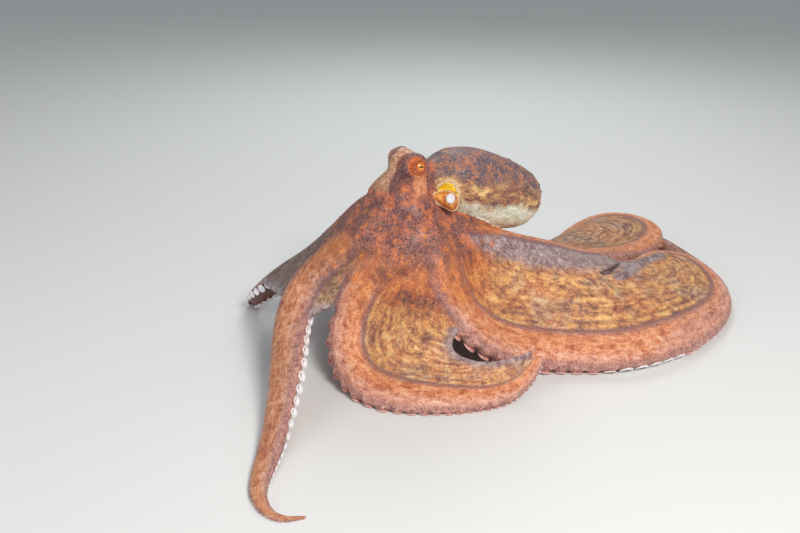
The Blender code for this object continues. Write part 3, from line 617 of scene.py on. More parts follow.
def mantle_source():
    count, stations = 96, 70
    rings, s_rows, ups = [], [], []
    for k in range(stations + 1):
        s = mantle_run[-1] * k / stations
        p, side, up, _ = mantle_frame(s)
        angle = np.arange(count) * 2 * math.pi / count
        rings.append(p[:3] + np.outer(np.cos(angle) * p[3], side) + np.outer(np.sin(angle) * p[4], up))
        s_rows.append(s)
        ups.append(np.sin(angle))
    tip = unit(mantle_rows[-1][:3] - mantle_rows[-2][:3])
    middle = rings[-1].mean(axis=0)
    last = rings[-1]
    for shrink, ahead in ((0.86, 1.7), (0.62, 3.0), (0.3, 3.8)):
        rings.append(middle + ahead * MM * tip + (last - middle) * shrink)
        s_rows.append(mantle_run[-1])
        ups.append(ups[-1])
    points, faces = np.concatenate(rings), loft_faces(count, len(rings))
    body = mesh_object("mantle_draft", points, faces)

    # The cutter: the opening's outline run inwards, closing like a bowl.
    outline = opening_outline()
    rings = []
    depth = 12 * MM
    for d in (-22, -12, -4, 0, 3, 6, 9, 11.5, 13.5, 15.2, 16.3, 16.9):
        d = d * MM
        share = 1.0 if d < 0 else math.sqrt(max(1 - (d / depth) ** 2, 0))
        middle = OPENING_AT - OPENING_OUT * d
        rings.append(middle + np.outer(outline[:, 0] * share, OPENING_RIGHT) + np.outer(outline[:, 1] * share, OPENING_UP))
    cutter = mesh_object("opening_cutter", np.concatenate(rings), loft_faces(len(outline), len(rings)))
    for obj in (body, cutter):
        bm = bmesh.new()
        bm.from_mesh(obj.data)
        bmesh.ops.recalc_face_normals(bm, faces=bm.faces)
        if bm.calc_volume(signed=True) < 0:
            bmesh.ops.reverse_faces(bm, faces=bm.faces)
        bm.to_mesh(obj.data)
        bm.free()
    modifier = body.modifiers.new("opening", "BOOLEAN")
    modifier.operation, modifier.object, modifier.solver = "DIFFERENCE", cutter, "EXACT"
    mesh = evaluated_mesh(body)
    points, faces = mesh_arrays(mesh)
    # Points of the cut are the cavity's wall: those are well inside the mantle's own surface.
    rel = points - OPENING_AT
    out = rel @ OPENING_OUT
    flat = np.column_stack([rel @ OPENING_RIGHT, rel @ OPENING_UP])
    outer = mantle_surface_offset(points)
    cavity = (outer < -0.8 * MM) & (np.hypot(flat[:, 0], flat[:, 1]) < 30 * MM)
    s, up = mantle_place(points)
    around = np.arcsin(np.clip(up, -1, 1)) * 0.042
    rearward = smooth((s / mantle_run[-1] - 0.30) / 0.40)
    add_source(points, faces, mantle=1, cavity=cavity, tone=up + 0.14 - 0.34 * rearward, s=s, t=around)
    for obj in (body, cutter):
        bpy.data.objects.remove(obj, do_unlink=True)

    # The lip: a soft cord along the opening's edge where it meets the mantle.
    tree = BVHTree.FromPolygons([tuple(p) for p in np.concatenate([sources[-1][0]])], sources[-1][1])
    rim = []
    for x, y in opening_outline(96) * 1.09:
        start = OPENING_AT + OPENING_RIGHT * x + OPENING_UP * y + OPENING_OUT * 60 * MM
        hit = tree.ray_cast(Vector(start), Vector(-OPENING_OUT))[0]
        rim.append(np.array(hit) if hit is not None else None)
    good = [p for p in rim if p is not None]
    if good:
        # Where the mantle has no surface (towards the head) the lip dives inwards.
        for i, p in enumerate(rim):
            if p is None:
                j = min((k for k in range(len(rim)) if rim[k] is not None), key=lambda k: min(abs(k - i), 96 - abs(k - i)))
                x, y = opening_outline(96)[i] * 1.09
                out = (rim[j] - OPENING_AT) @ OPENING_OUT
                rim[i] = OPENING_AT + OPENING_RIGHT * x + OPENING_UP * y + OPENING_OUT * out
        rim = np.array(rim)
        for _ in range(6):
            rim = (np.roll(rim, 1, axis=0) + 2 * rim + np.roll(rim, -1, axis=0)) / 4
        tube_source(rim - OPENING_OUT * 0.7 * MM, 1.7 * MM, closed=True, lip=1, mantle=1, tone=0.0, s=0.02)


def mantle_place(points):
    """How far along the mantle's axis each point is, and how high on its section (-1 to 1)."""
    s_found, up_found = np.zeros(len(points)), np.zeros(len(points))
    best = np.full(len(points), 1e9)
    for s in np.linspace(0, mantle_run[-1], 60):
        p, side, up, tangent = mantle_frame(s)
        rel = points - p[:3]
        gap = abs(rel @ tangent)
        take = gap < best
        best = np.where(take, gap, best)
        s_found = np.where(take, s, s_found)
        up_found = np.where(take, (rel @ up) / p[4], up_found)
    return s_found, up_found


def mantle_surface_offset(points):
    """Roughly how far each point is outside the mantle's outer surface (negative inside)."""
    found = np.full(len(points), 1e9)
    best = np.full(len(points), 1e9)
    for s in np.linspace(0, mantle_run[-1], 60):
        p, side, up, tangent = mantle_frame(s)
        rel = points - p[:3]
        gap = abs(rel @ tangent)
        x, y = rel @ side, rel @ up
        reach = np.hypot(x, y)
        wall = 1 / np.sqrt((x / p[3] / np.maximum(reach, 1e-6)) ** 2 + (y / p[4] / np.maximum(reach, 1e-6)) ** 2)
        take = gap < best
        best = np.where(take, gap, best)
        found = np.where(take, reach - wall, found)
    return found


def tube_source(path, radius, closed=False, sides=10, **fields):
    path = np.asarray(path)
    n = len(path)
    radii = np.broadcast_to(radius, (n,))
    rings = []
    normal = None
    for i in range(n):
        if closed:
            tangent = unit(path[(i + 1) % n] - path[i - 1])
        else:
            tangent = unit(path[min(i + 1, n - 1)] - path[max(i - 1, 0)])
        if normal is None:
            normal = unit(np.cross(tangent, (0.3, 0.5, 0.8)))
        normal = unit(normal - tangent * np.dot(normal, tangent))
        other = np.cross(tangent, normal)
        angle = np.arange(sides) * 2 * math.pi / sides
        rings.append(path[i] + radii[i] * (np.outer(np.cos(angle), normal) + np.outer(np.sin(angle), other)))
    points = np.concatenate(rings)
    if closed:
        # The last ring is turned to meet the first one's points.
        first, final = rings[0], rings[-1]
        turn = min(range(sides), key=lambda k: np.linalg.norm(np.roll(final, -k, axis=0) - first))
        faces = []
        for i in range(n - 1):
            for j in range(sides):
                k = (j + 1) % sides
                faces.append((i * sides + j, i * sides + k, (i + 1) * sides + k, (i + 1) * sides + j))
        for j in range(sides):
            k = (j + 1) % sides
            faces.append(((n - 1) * sides + (j + turn) % sides, (n - 1) * sides + (k + turn) % sides, k, j))
    else:
        faces = loft_faces(sides, n)
    add_source(points, faces, **fields)


def frame_at(origin, axis):
    turn = Vector((0, 0, 1)).rotation_difference(Vector(axis)).to_matrix().to_4x4()
    return Matrix.Translation(Vector(origin)) @ turn


FUNNEL_SHAPE = [(-12.8, 0.8), (-8.5, 4.0), (-4.1, 5.6), (2.4, 6.2), (9.0, 5.1), (14.0, 1.6), (16.2, -3.6), (15.2, -10.0),
                (12.6, -15.2), (6.8, -14.4), (1.4, -11.8), (-4.1, -8.5), (-9.0, -4.2)]  # mm, right and up of the opening
FUNNEL_MIDDLE = np.array([3.5, -4.0])
FUNNEL_HIGH = 10.5
MOUTH_AT, MOUTH_RADII = (7.6, -1.6), (4.4, 5.2)


def opening_point(x, y, out):
    """A point in the opening's own axes, in millimetres."""
    return OPENING_AT + MM * (x * OPENING_RIGHT + y * OPENING_UP + out * OPENING_OUT)


def funnel_height(x, y, share):
    """How far out the funnel's dome stands: it leans onto the neck on its left."""
    return -5.5 + FUNNEL_HIGH * math.sqrt(max(1 - share * share, 0.0)) + 0.42 * max(0.0, -x - 2.0)


def funnel_source():
    loop = corner_cut(np.array(FUNNEL_SHAPE), 3)
    rings, lips = [], []
    for share, depth in ((0.55, -16), (0.80, -14), (0.95, -9)):
        rings.append([opening_point(*(FUNNEL_MIDDLE + (p - FUNNEL_MIDDLE) * share), depth + 0.42 * max(0.0, -p[0] - 2.0))
                      for p in loop])
        lips.append(0.0)
    for share in (1.0, 0.97, 0.92, 0.85, 0.75, 0.62, 0.45, 0.25, 0.08):
        ring = []
        for p in loop:
            q = FUNNEL_MIDDLE + (p - FUNNEL_MIDDLE) * share
            ring.append(opening_point(q[0], q[1], funnel_height(q[0], q[1], share)))
        rings.append(ring)
        lips.append(0.0)
    n = len(loop)
    add_source(np.array(rings).reshape(-1, 3), loft_faces(n, len(rings)), funnel=1, s=0.0)
    path = [opening_point(p[0], p[1], funnel_height(p[0], p[1], 1.0) + 1.2) for p in loop[:: max(n // 52, 1)]]
    tube_source(path, 1.35 * MM, closed=True, lip=1, funnel=1)
    # The mouth: an oval, slightly dished, on the dome.
    x0, y0 = MOUTH_AT
    share = math.hypot(*((np.array(MOUTH_AT) - FUNNEL_MIDDLE) / (13.5, 9.5)))
    high = funnel_height(x0, y0, min(share, 0.95))
    angle = np.arange(28) * 2 * math.pi / 28
    rings = []
    for share, out in ((0.75, -3.5), (1.0, -2.0), (1.06, 0.6), (1.0, 1.9), (0.86, 2.3), (0.70, 1.8), (0.40, 1.2), (0.12, 1.0)):
        rings.append([opening_point(x0 + MOUTH_RADII[0] * share * math.cos(a), y0 + MOUTH_RADII[1] * share * math.sin(a), high + out)
                      for a in angle])
    add_source(np.array(rings).reshape(-1, 3), loft_faces(28, len(rings)), mouth=1, funnel=1)


ROLL = [(35.0, 16.6, 4.6), (32.6, 14.2, 5.1), (30.2, 11.0, 5.8), (28.6, 7.9, 6.5), (27.0, 5.2, 7.05), (25.9, 4.0, 7.3)]
CREVICE = [(31.0, 17.0, 5.0), (29.4, 14.2, 5.7), (28.0, 11.0, 6.4), (26.7, 8.4, 6.85), (25.4, 6.2, 7.25), (24.3, 4.7, 7.5)]


def bridge_sources():
    """Flesh between neighbouring arms at their roots, and the shoulder from the head down to the right front arm."""
    for i, name in enumerate(RING):
        one, two = arms[name], arms[RING[(i + 1) % len(RING)]]
        path, radii = [], []
        for s in np.linspace(0, 62 * MM, 9):
            a, b = one.frame(s), two.frame(s)
            gap = np.linalg.norm(a[0] - b[0])
            if gap > 56 * MM:
                break
            path.append((a[0] + b[0]) / 2 + 1 * MM * unit(a[2] + b[2]))
            radii.append(9.5 * MM)
        if len(path) > 2:
            tube_source(path, np.array(radii), sides=14, head=0.5, web=0.5, s=0.03, t=0.3 + 0.1 * i, across=0.5)
    # Flesh under the mantle, the rolled end of the left second arm's spiral, and the fold behind it.
    under_mantle = [(4.4, 0.2, 16.6), (5.6, 0.7, 15.8), (6.9, 1.3, 15.2), (8.4, 2.0, 14.6), (10.0, 2.6, 13.8)]
    tube_source([to_plan(p) for p in under_mantle], np.array([11, 10.5, 10, 9, 8]) * MM, sides=16, head=0.6, arm=0.4, s=0.03)
    tube_source(spline([to_plan(p) for p in ROLL])[0], np.interp(np.linspace(0, 1, 24 * (len(ROLL) - 1) + 1),
                                                                 (0, 0.5, 1), (5.6, 4.6, 3.0)) * MM,
                sides=14, web=1, cool=1.0, s=0.3, t=2.1)
    # The fold behind is given painted shade and a grey-blue tint.
    fold = [(36.2, 27.8, 2.3), (37.6, 25.4, 2.5), (39.0, 22.4, 2.4), (40.4, 19.0, 2.2)]
    tube_source(spline([to_plan(p) for p in fold])[0], np.interp(np.linspace(0, 1, 73), (0, 1), (10.5, 9.5)) * MM,
                sides=16, arm=0.5, web=0.5, cool=0.8, dull=0.45, s=0.5, t=1.7)
    shoulder = [(0.2, 0.8, 21.2), (-0.7, 0.9, 20.3), (-1.6, 1.0, 19.4), (-2.6, 1.1, 18.4)]
    tube_source([to_plan(p) for p in shoulder], np.array([14, 15, 15, 13.5]) * MM, sides=20, head=1)


for number, name in enumerate(RING):
    arm_source(arms[name], number)
for number, ((one, two), spec) in enumerate(WEBS.items()):
    web_source(arms[one], arms[two], spec, number)
head_source()
core_source()
bridge_sources()

# ---------------------------------------------------------------------------------------------------------
# One skin: the sources joined by a voxel remesh, with the valleys between arms and web filled near the crown.


def fine_noise(points, seed=0):
    """Smooth gradient noise in about -1 to 1, the same on every run."""
    points = np.asarray(points, float)
    cell = np.floor(points).astype(np.int64)
    frac = points - cell
    ease = frac * frac * frac * (frac * (frac * 6 - 15) + 10)
    total = np.zeros(len(points))
    for dx in (0, 1):
        for dy in (0, 1):
            for dz in (0, 1):
                corner = cell + (dx, dy, dz)
                h = (corner[:, 0] * 73856093) ^ (corner[:, 1] * 19349663) ^ (corner[:, 2] * 83492791) ^ (seed * 2654435)
                h = (h ^ (h >> 13)) * 1274126177 & 0x7FFFFFFF
                angle = (h & 0xFFFF) / 65536 * 2 * math.pi
                rise = ((h >> 16) & 0x7FFF) / 32768 * 2 - 1
                flat = np.sqrt(np.maximum(1 - rise * rise, 0))
                away = frac - (dx, dy, dz)
                dot = away[:, 0] * np.cos(angle) * flat + away[:, 1] * np.sin(angle) * flat + away[:, 2] * rise
                weight = np.abs(1 - dx - ease[:, 0]) * np.abs(1 - dy - ease[:, 1]) * np.abs(1 - dz - ease[:, 2])
                total += weight * dot
    return total * 1.6


class Surface:
    """Arrays of a mesh, with the sums over neighbours that smoothing needs."""

    def __init__(self, mesh):
        n = len(mesh.vertices)
        self.points = np.empty(n * 3)
        mesh.vertices.foreach_get("co", self.points)
        self.points = self.points.reshape(-1, 3)
        edges = np.empty(len(mesh.edges) * 2, np.int32)
        mesh.edges.foreach_get("vertices", edges)
        edges = edges.reshape(-1, 2)
        self.one = np.concatenate([edges[:, 0], edges[:, 1]])
        self.two = np.concatenate([edges[:, 1], edges[:, 0]])
        self.count = np.maximum(np.bincount(self.one, minlength=n), 1)
        loops = np.empty(len(mesh.loops), np.int32)
        mesh.loops.foreach_get("vertex_index", loops)
        starts = np.empty(len(mesh.polygons), np.int32)
        mesh.polygons.foreach_get("loop_start", starts)
        totals = np.empty(len(mesh.polygons), np.int32)
        mesh.polygons.foreach_get("loop_total", totals)
        self.loops, self.starts, self.totals = loops, starts, totals
        self.corner = [loops[starts], loops[starts + 1], loops[starts + 2], loops[starts + totals - 1]]

    def mean(self, values):
        values = np.asarray(values, float)
        flat = values.reshape(len(values), -1)
        found = np.empty_like(flat)
        for i in range(flat.shape[1]):
            found[:, i] = np.bincount(self.one, weights=flat[self.two, i], minlength=len(flat)) / self.count
        return found.reshape(values.shape)

    def normals(self):
        p = self.points
        a, b, c, d = self.corner
        face = np.cross(p[c] - p[a], p[d] - p[b])
        found = np.zeros_like(p)
        for corner in self.corner:
            for i in range(3):
                found[:, i] += np.bincount(corner, weights=face[:, i], minlength=len(p))
        return found / np.maximum(np.linalg.norm(found, axis=1), 1e-12)[:, None]


def joined_sources():
    points, faces, offset = [], [], 0
    for p, f, _ in sources:
        points.append(p)
        faces += [tuple(i + offset for i in face) for face in f]
        offset += len(p)
    return np.concatenate(points), faces


def voxel_mesh(size):
    """All the sources so far as one closed mesh of small squares."""
    points, faces = joined_sources()
    draft = mesh_object("skin_draft", points, faces)
    remesh = draft.modifiers.new("voxels", "REMESH")
    remesh.mode, remesh.voxel_size, remesh.use_smooth_shade = "VOXEL", size, True
    mesh = evaluated_mesh(draft)
    bpy.data.objects.remove(draft, do_unlink=True)
    return mesh


def triangles(faces):
    found = []
    for face in faces:
        for i in range(1, len(face) - 1):
            found.append((face[0], face[i], face[i + 1]))
    return found


class Carrier:
    """Finds the sources' fields at the nearest place of each point."""

    def __init__(self):
        self.points, faces = joined_sources()
        self.values = np.concatenate([v for _, _, v in sources])
        self.triangles = np.array(triangles(faces))
        self.tree = BVHTree.FromPolygons(self.points.tolist(), self.triangles.tolist())

    def fields(self, points):
        index = np.zeros(len(points), np.int64)
        spot = np.zeros((len(points), 3))
        for i, p in enumerate(points.tolist()):
            where, _, face, _ = self.tree.find_nearest(p)
            index[i] = face
            spot[i] = where
        a, b, c = (self.points[self.triangles[index, k]] for k in range(3))
        area = np.cross(b - a, c - a)
        total = np.maximum((area * area).sum(axis=1), 1e-18)
        w1 = (np.cross(c - b, spot - b) * area).sum(axis=1) / total
        w2 = (np.cross(a - c, spot - c) * area).sum(axis=1) / total
        w = np.clip(np.column_stack([w1, w2, 1 - w1 - w2]), 0, 1)
        w /= w.sum(axis=1)[:, None]
        return sum(self.values[self.triangles[index, k]] * w[:, k : k + 1] for k in range(3))


def drawn_together():
    """The arms, webs and head as living skin drapes over them: valleys above are filled broadly near the crown."""
    coarse = voxel_mesh(3.0 * MM)
    surface = Surface(coarse)
    before = surface.points.copy()
    values = Carrier().fields(before)
    from_crown = np.linalg.norm(before - CROWN, axis=1)
    high = smooth((0.198 - before[:, 2]) / 0.02)
    near_share = smooth((0.20 - from_crown) / 0.10)
    for step in range(110):
        if step % 8 == 0:
            normal = surface.normals()
            upward = smooth((normal[:, 2] + 0.25) / 0.5)
        weight = upward * (0.15 + 0.85 * high) * (near_share if step > 22 else 1.0)
        move = ((surface.mean(surface.points) - surface.points) * normal).sum(axis=1)
        surface.points += (0.9 * weight * np.maximum(move, 0))[:, None] * normal
    for step in range(10):
        step_by = 0.55 if step % 2 == 0 else -0.57
        surface.points += step_by * (surface.mean(surface.points) - surface.points)
    rose = np.linalg.norm(surface.points - before, axis=1)
    values[:, COLUMN["under"]] *= 1 - smooth((rose - 2 * MM) / (3 * MM))
    sources.append((surface.points, [tuple(p.vertices) for p in coarse.polygons], values))


drawn_together()
mantle_source()
funnel_source()
skin_mesh = voxel_mesh(VOXEL)
bm = bmesh.new()
bm.from_mesh(skin_mesh)
# Loose crumbs that the voxels left inside are dropped: only the largest shell is kept.
bm.verts.ensure_lookup_table()
seen = np.zeros(len(bm.verts), bool)
shells = []
for vert in bm.verts:
    if seen[vert.index]:
        continue
    stack, found = [vert], []
    seen[vert.index] = True
    while stack:
        v = stack.pop()
        found.append(v)
        for edge in v.link_edges:
            o = edge.other_vert(v)
            if not seen[o.index]:
                seen[o.index] = True
                stack.append(o)
    shells.append(found)
shells.sort(key=len)
for crumbs in shells[:-1]:
    bmesh.ops.delete(bm, geom=crumbs, context="VERTS")


def near_any(point, places):
    return any((point - place).length < reach for place, reach in places)


# The faces round the eyes and the mantle's opening are divided, for their finer shapes.
places = [(Vector(eye_middle["L"]), 0.021), (Vector(eye_middle["R"]), 0.021), (Vector(OPENING_AT), 0.024)]
close = [f for f in bm.faces if near_any(f.calc_center_median(), places)]
bmesh.ops.subdivide_edges(bm, edges=list({e for f in close for e in f.edges}), cuts=1, use_grid_fill=True)
bm.to_mesh(skin_mesh)
bm.free()

skin = Surface(skin_mesh)
points = skin.points


fields = Carrier().fields(points)


def field(name):
    return fields[:, COLUMN[name]]


from_crown = np.linalg.norm(points - CROWN, axis=1)
# Everything inside the opening is the cavity's wall.
opening_loop = opening_outline(120)
opening_rel = points - OPENING_AT
opening_flat = np.column_stack([opening_rel @ OPENING_RIGHT, opening_rel @ OPENING_UP])
opening_out = opening_rel @ OPENING_OUT
loop_reach = np.hypot(opening_loop[:, 0], opening_loop[:, 1])
loop_angle = np.arctan2(opening_loop[:, 1], opening_loop[:, 0])
order = np.argsort(loop_angle)
reach_here = np.interp(np.arctan2(opening_flat[:, 1], opening_flat[:, 0]), loop_angle[order], loop_reach[order], period=2 * math.pi)
opening_share = np.hypot(opening_flat[:, 0], opening_flat[:, 1]) / reach_here
hollow = (opening_share < 1.0) & (opening_out < -6.5 * MM + 4 * MM * (opening_flat[:, 0] > 0)) & (opening_out > -40 * MM)
hollow &= (fields[:, COLUMN["funnel"]] < 0.5) & (fields[:, COLUMN["lip"]] < 0.5) & (opening_flat[:, 1] > -9 * MM)
fields[hollow, COLUMN["cavity"]] = 1.0
collar = smooth((1.75 - opening_share) / 0.6) * (opening_out > -45 * MM)
keep_sharp = np.maximum.reduce([field("cavity"), field("lip"), field("funnel")])
for middle in eye_middle.values():
    keep_sharp = np.maximum(keep_sharp, smooth((0.026 - np.linalg.norm(points - middle, axis=1)) / 0.006))
keep_sharp = np.maximum(keep_sharp, smooth((0.030 - np.linalg.norm(points - OPENING_AT, axis=1)) / 0.010))
rounds = 50
fill = 0.55 * (1 - keep_sharp) * (1 - 0.75 * field("mantle")) * (1 - 0.8 * smooth((points[:, 2] - 0.205) / 0.01))
for step in range(rounds):
    if step % 8 == 0:
        normal = skin.normals()
    weight = fill if step < rounds * 0.5 else fill * smooth((0.20 - from_crown) / 0.10)
    move = ((skin.mean(skin.points) - skin.points) * normal).sum(axis=1)
    skin.points += (0.9 * weight * np.maximum(move, 0))[:, None] * normal
for step in range(14):
    step_by = 0.55 if step % 2 == 0 else -0.57
    skin.points += step_by * (skin.mean(skin.points) - skin.points)
points = skin.points
masks = [i for i, name in enumerate(FIELDS) if name not in ("s", "t")]
for _ in range(3):
    fields[:, masks] = 0.5 * fields[:, masks] + 0.5 * skin.mean(fields[:, masks])
soft_masks = [COLUMN[name] for name in ("arm", "web", "head", "cool", "dull", "tan", "far")]
for _ in range(18):
    fields[:, soft_masks] = 0.4 * fields[:, soft_masks] + 0.6 * skin.mean(fields[:, soft_masks])

# ---------------------------------------------------------------------------------------------------------
# The skin's own forms: lids, folds, wrinkles that run with the arms, scalloped edges and warts.
normal = skin.normals()
s_field, t_field = field("s"), field("t")
flow = np.column_stack([s_field * 34, t_field * 150, np.zeros(len(points))])
lumps = fine_noise(points * 85, 1) + 0.5 * fine_noise(points * 190, 2)
wrinkle = fine_noise(flow, 3) + 0.5 * fine_noise(flow * (2.1, 2.3, 1), 4)
web_m, arm_m, mantle_m, head_m = field("web"), field("arm"), field("mantle"), field("head")
plain = 1 - keep_sharp
# Ribs that run with the arms over the web's sides, as on a drawn tent.
across = field("across")
beside = np.minimum(across, 1 - across)
rib = np.sin(2 * math.pi * (t_field / (11 * MM) + 0.35 * fine_noise(flow * (0.5, 0.25, 1), 5)))
rib *= web_m * smooth((0.50 - beside) / 0.35) * (1 - 0.6 * field("edge"))
lift_ribs = plain * 0.42 * MM * rib
lift = lift_ribs + plain * (0.22 * MM * lumps * (arm_m + head_m + mantle_m).clip(0, 1) + 0.42 * MM * wrinkle * (web_m + 0.5 * arm_m))
lift += plain * mantle_m * 0.25 * MM * fine_noise(points * (60, 60, 130), 9)
# The mantle's front stands a little fuller on top, behind the head.
back_share = s_field / mantle_run[-1]
lift += 4.4 * MM * mantle_m * smooth((normal[:, 2] - 0.05) / 0.5) * smooth((back_share - 0.02) / 0.16) * smooth((0.62 - back_share) / 0.34)
lift *= smooth(points[:, 2] / (3 * MM))

# ---------------------------------------------------------------------------------------------------------
# Suckers: two rows under every arm, each a soft cup on a short neck.
CUP = [(0.50, -0.75, 0.0), (0.56, -0.35, 0.0), (0.62, -0.05, 0.0), (0.80, 0.12, 0.1), (0.97, 0.26, 0.35), (1.02, 0.38, 0.8),
       (0.95, 0.47, 1.0), (0.80, 0.45, 1.0), (0.63, 0.38, 1.0), (0.45, 0.33, 0.95), (0.30, 0.20, 0.8), (0.12, 0.14, 0.7)]
CUP_SIDES = 14
rng_suckers = np.random.default_rng(11)


# How far along each side of each arm a web is attached: past it that side is free and its suckers stand out.
ATTACHED = {}
for (one, two), spec in WEBS.items():
    ATTACHED[one, 1], ATTACHED[two, -1] = spec["first"], spec["second"]
SUCKER_SHARE = {"L1": 0.30, "L2": 0.36, "L3": 0.36, "R1": 0.37}


def sucker_rows(arm):
    """Middle, outward axis, radius and sideways direction of each sucker of an arm, and whether its row stands out."""
    for row, sign in enumerate((-1, 1)):
        s = 30 * MM + row * 5 * MM
        while s < arm.length - 3 * MM:
            a, _, depth = arm.section(s, arm.length)
            grow = 0.45 + 0.55 * smooth((s - 20 * MM) / (70 * MM))
            r = max(SUCKER_SHARE.get(arm.name, 0.29) * a * grow, 0.75 * MM)
            ring, side, back, point = arm.ring(s)
            corner, inner = (ring[4], ring[5]) if sign < 0 else (ring[5], ring[4])
            across = unit(corner - inner)
            down = unit(np.cross(across, arm.frame(s)[3]))
            if np.dot(down, back) > 0:
                down = -down
            lying, turned = 1 - smooth(corner[2] / (5 * MM)), 1.0
            shown = 1.0 if s > ATTACHED[arm.name, sign] * arm.length + 4 * MM and arm.name != "R1" else 0.0
            axis = unit(down * (0.80 - 0.25 * shown) + across * (0.55 + 0.25 * lying + 0.25 * shown))
            wide = ring[3] if sign < 0 else ring[6]
            middle = corner + across * (0.05 * lying - 0.20 * (1 - lying)) * r + (1 - lying) * down * 0.05 * r
            middle = middle + np.array([0, 0, 1.0]) * lying * 0.50 * r
            if shown:
                if arm.name == "L1":
                    turned = 1.0
                    axis = unit(down * 0.22 + across * 0.92 + plan(0, -0.20, 0))
                    middle = corner * 0.50 + wide * 0.50 + across * 0.06 * r
                else:
                    # A few of the third arm's suckers open outwards, well to the right.
                    far_right = corner @ plan(1.0, 0, 0)
                    turned = smooth((far_right - 0.224) / 0.02) * smooth((0.335 - far_right) / 0.02) * (arm.name == "L3")
                    axis = unit(down * (0.93 - 0.22 * turned) + across * (0.36 + 0.28 * turned))
                    middle = corner * 0.55 + wide * 0.45 - across * (0.12 - 0.20 * turned) * r
                    middle = middle + np.array([0, 0, 0.25 * r * turned])
            yield middle, axis, r * rng_suckers.uniform(0.93, 1.05), across, shown, 1.0 - turned
            s += (2.70 if arm.name == "L1" else 2.16) * r


all_suckers = {name: list(sucker_rows(arms[name])) for name in RING}

# The skin bulges over every sucker of a row that stands out, which scallops the arm's edge.
order_x = np.argsort(points[:, 0])
along_x = points[order_x, 0]
bulge = np.zeros(len(points))
for name in RING:
    for middle, axis, r, outward, shown, lobe in all_suckers[name]:
        if shown == 0.0:
            continue
        over = middle + outward * 0.30 * lobe * r - axis * 0.20 * r + np.array([0, 0, (0.62 - 0.12 * lobe) * r])
        a, b = np.searchsorted(along_x, (over[0] - 1.6 * r, over[0] + 1.6 * r))
        ids = order_x[a:b]
        gap = ((points[ids] - over) ** 2).sum(axis=1) / ((0.72 + 0.13 * lobe) * r) ** 2
        bulge[ids] = np.maximum(bulge[ids], (0.40 + 0.18 * lobe) * r * np.exp(-gap))
lift += bulge * plain
scallop = np.clip(bulge / (1.2 * MM), 0, 1)

# Small pointed warts on the mantle's rear and down the arms' backs.
rng = np.random.default_rng(7)
candidates = np.flatnonzero((mantle_m > 0.9) & (s_field > mantle_run[-1] * 0.55) & (field("tone") > -0.8))
wart = np.zeros(len(points))
if len(candidates):
    for i in rng.choice(candidates, min(46, len(candidates)), replace=False):
        size = rng.uniform(1.6, 2.6) * MM
        high = rng.uniform(0.7, 1.8) * MM
        gap = np.linalg.norm(points - points[i], axis=1)
        wart = np.maximum(wart, high * np.exp(-(gap / size) ** 2 * 1.8))
lift += wart
candidates = np.flatnonzero((arm_m > 0.8) & (field("ridge") > 0.5) & (keep_sharp < 0.1))
if len(candidates):
    chosen = rng.choice(candidates, min(420, len(candidates)), replace=False)
    centres = points[chosen]
    sizes = rng.uniform(1.3, 2.4, len(chosen)) * MM
    highs = rng.uniform(0.25, 0.7, len(chosen)) * MM
    order = np.argsort(points[:, 0])
    sorted_x = points[order, 0]
    for c, size, high in zip(centres, sizes, highs):
        a, b = np.searchsorted(sorted_x, (c[0] - 3 * size, c[0] + 3 * size))
        ids = order[a:b]
        gap = ((points[ids] - c) ** 2).sum(axis=1)
        lift[ids] = lift[ids] + high * np.exp(-gap / size**2)
points = points + lift[:, None] * normal

# A shallow valley runs back over the head between the two eyes.
bump_l, bump_r = to_plan(EYE_BUMPS["L"]), to_plan(EYE_BUMPS["R"])
leftward = unit(bump_l - bump_r)
from_middle = (points - (bump_l + bump_r) / 2) @ leftward
top_share = smooth((points[:, 2] - 0.213) / 0.008) * (field("mantle") < 0.5)
points = points - (2.4 * MM * np.exp(-(from_middle / (4.2 * MM)) ** 2) * top_share)[:, None] * normal

# The crevice beside the spiral's rolled end, with a mask for the painted shade inside it.
crevice_shade, crevice_deep = np.zeros(len(points)), np.zeros(len(points))
spots = spline([to_plan(p) for p in CREVICE], 16)[0]
for i, spot in enumerate(spots):
    # It is narrow at first and widest just before its end.
    width = np.interp(i / (len(spots) - 1), (0, 0.6, 0.88, 1.0), (1.8, 3.0, 4.6, 3.4)) * MM
    gap = np.linalg.norm(points - spot, axis=1)
    crevice_shade = np.maximum(crevice_shade, np.exp(-(gap / width) ** 2))
    crevice_deep = np.maximum(crevice_deep, np.exp(-(gap / width) ** 2) * width)
points = points - (0.85 * crevice_deep * (normal[:, 2] > 0))[:, None] * normal

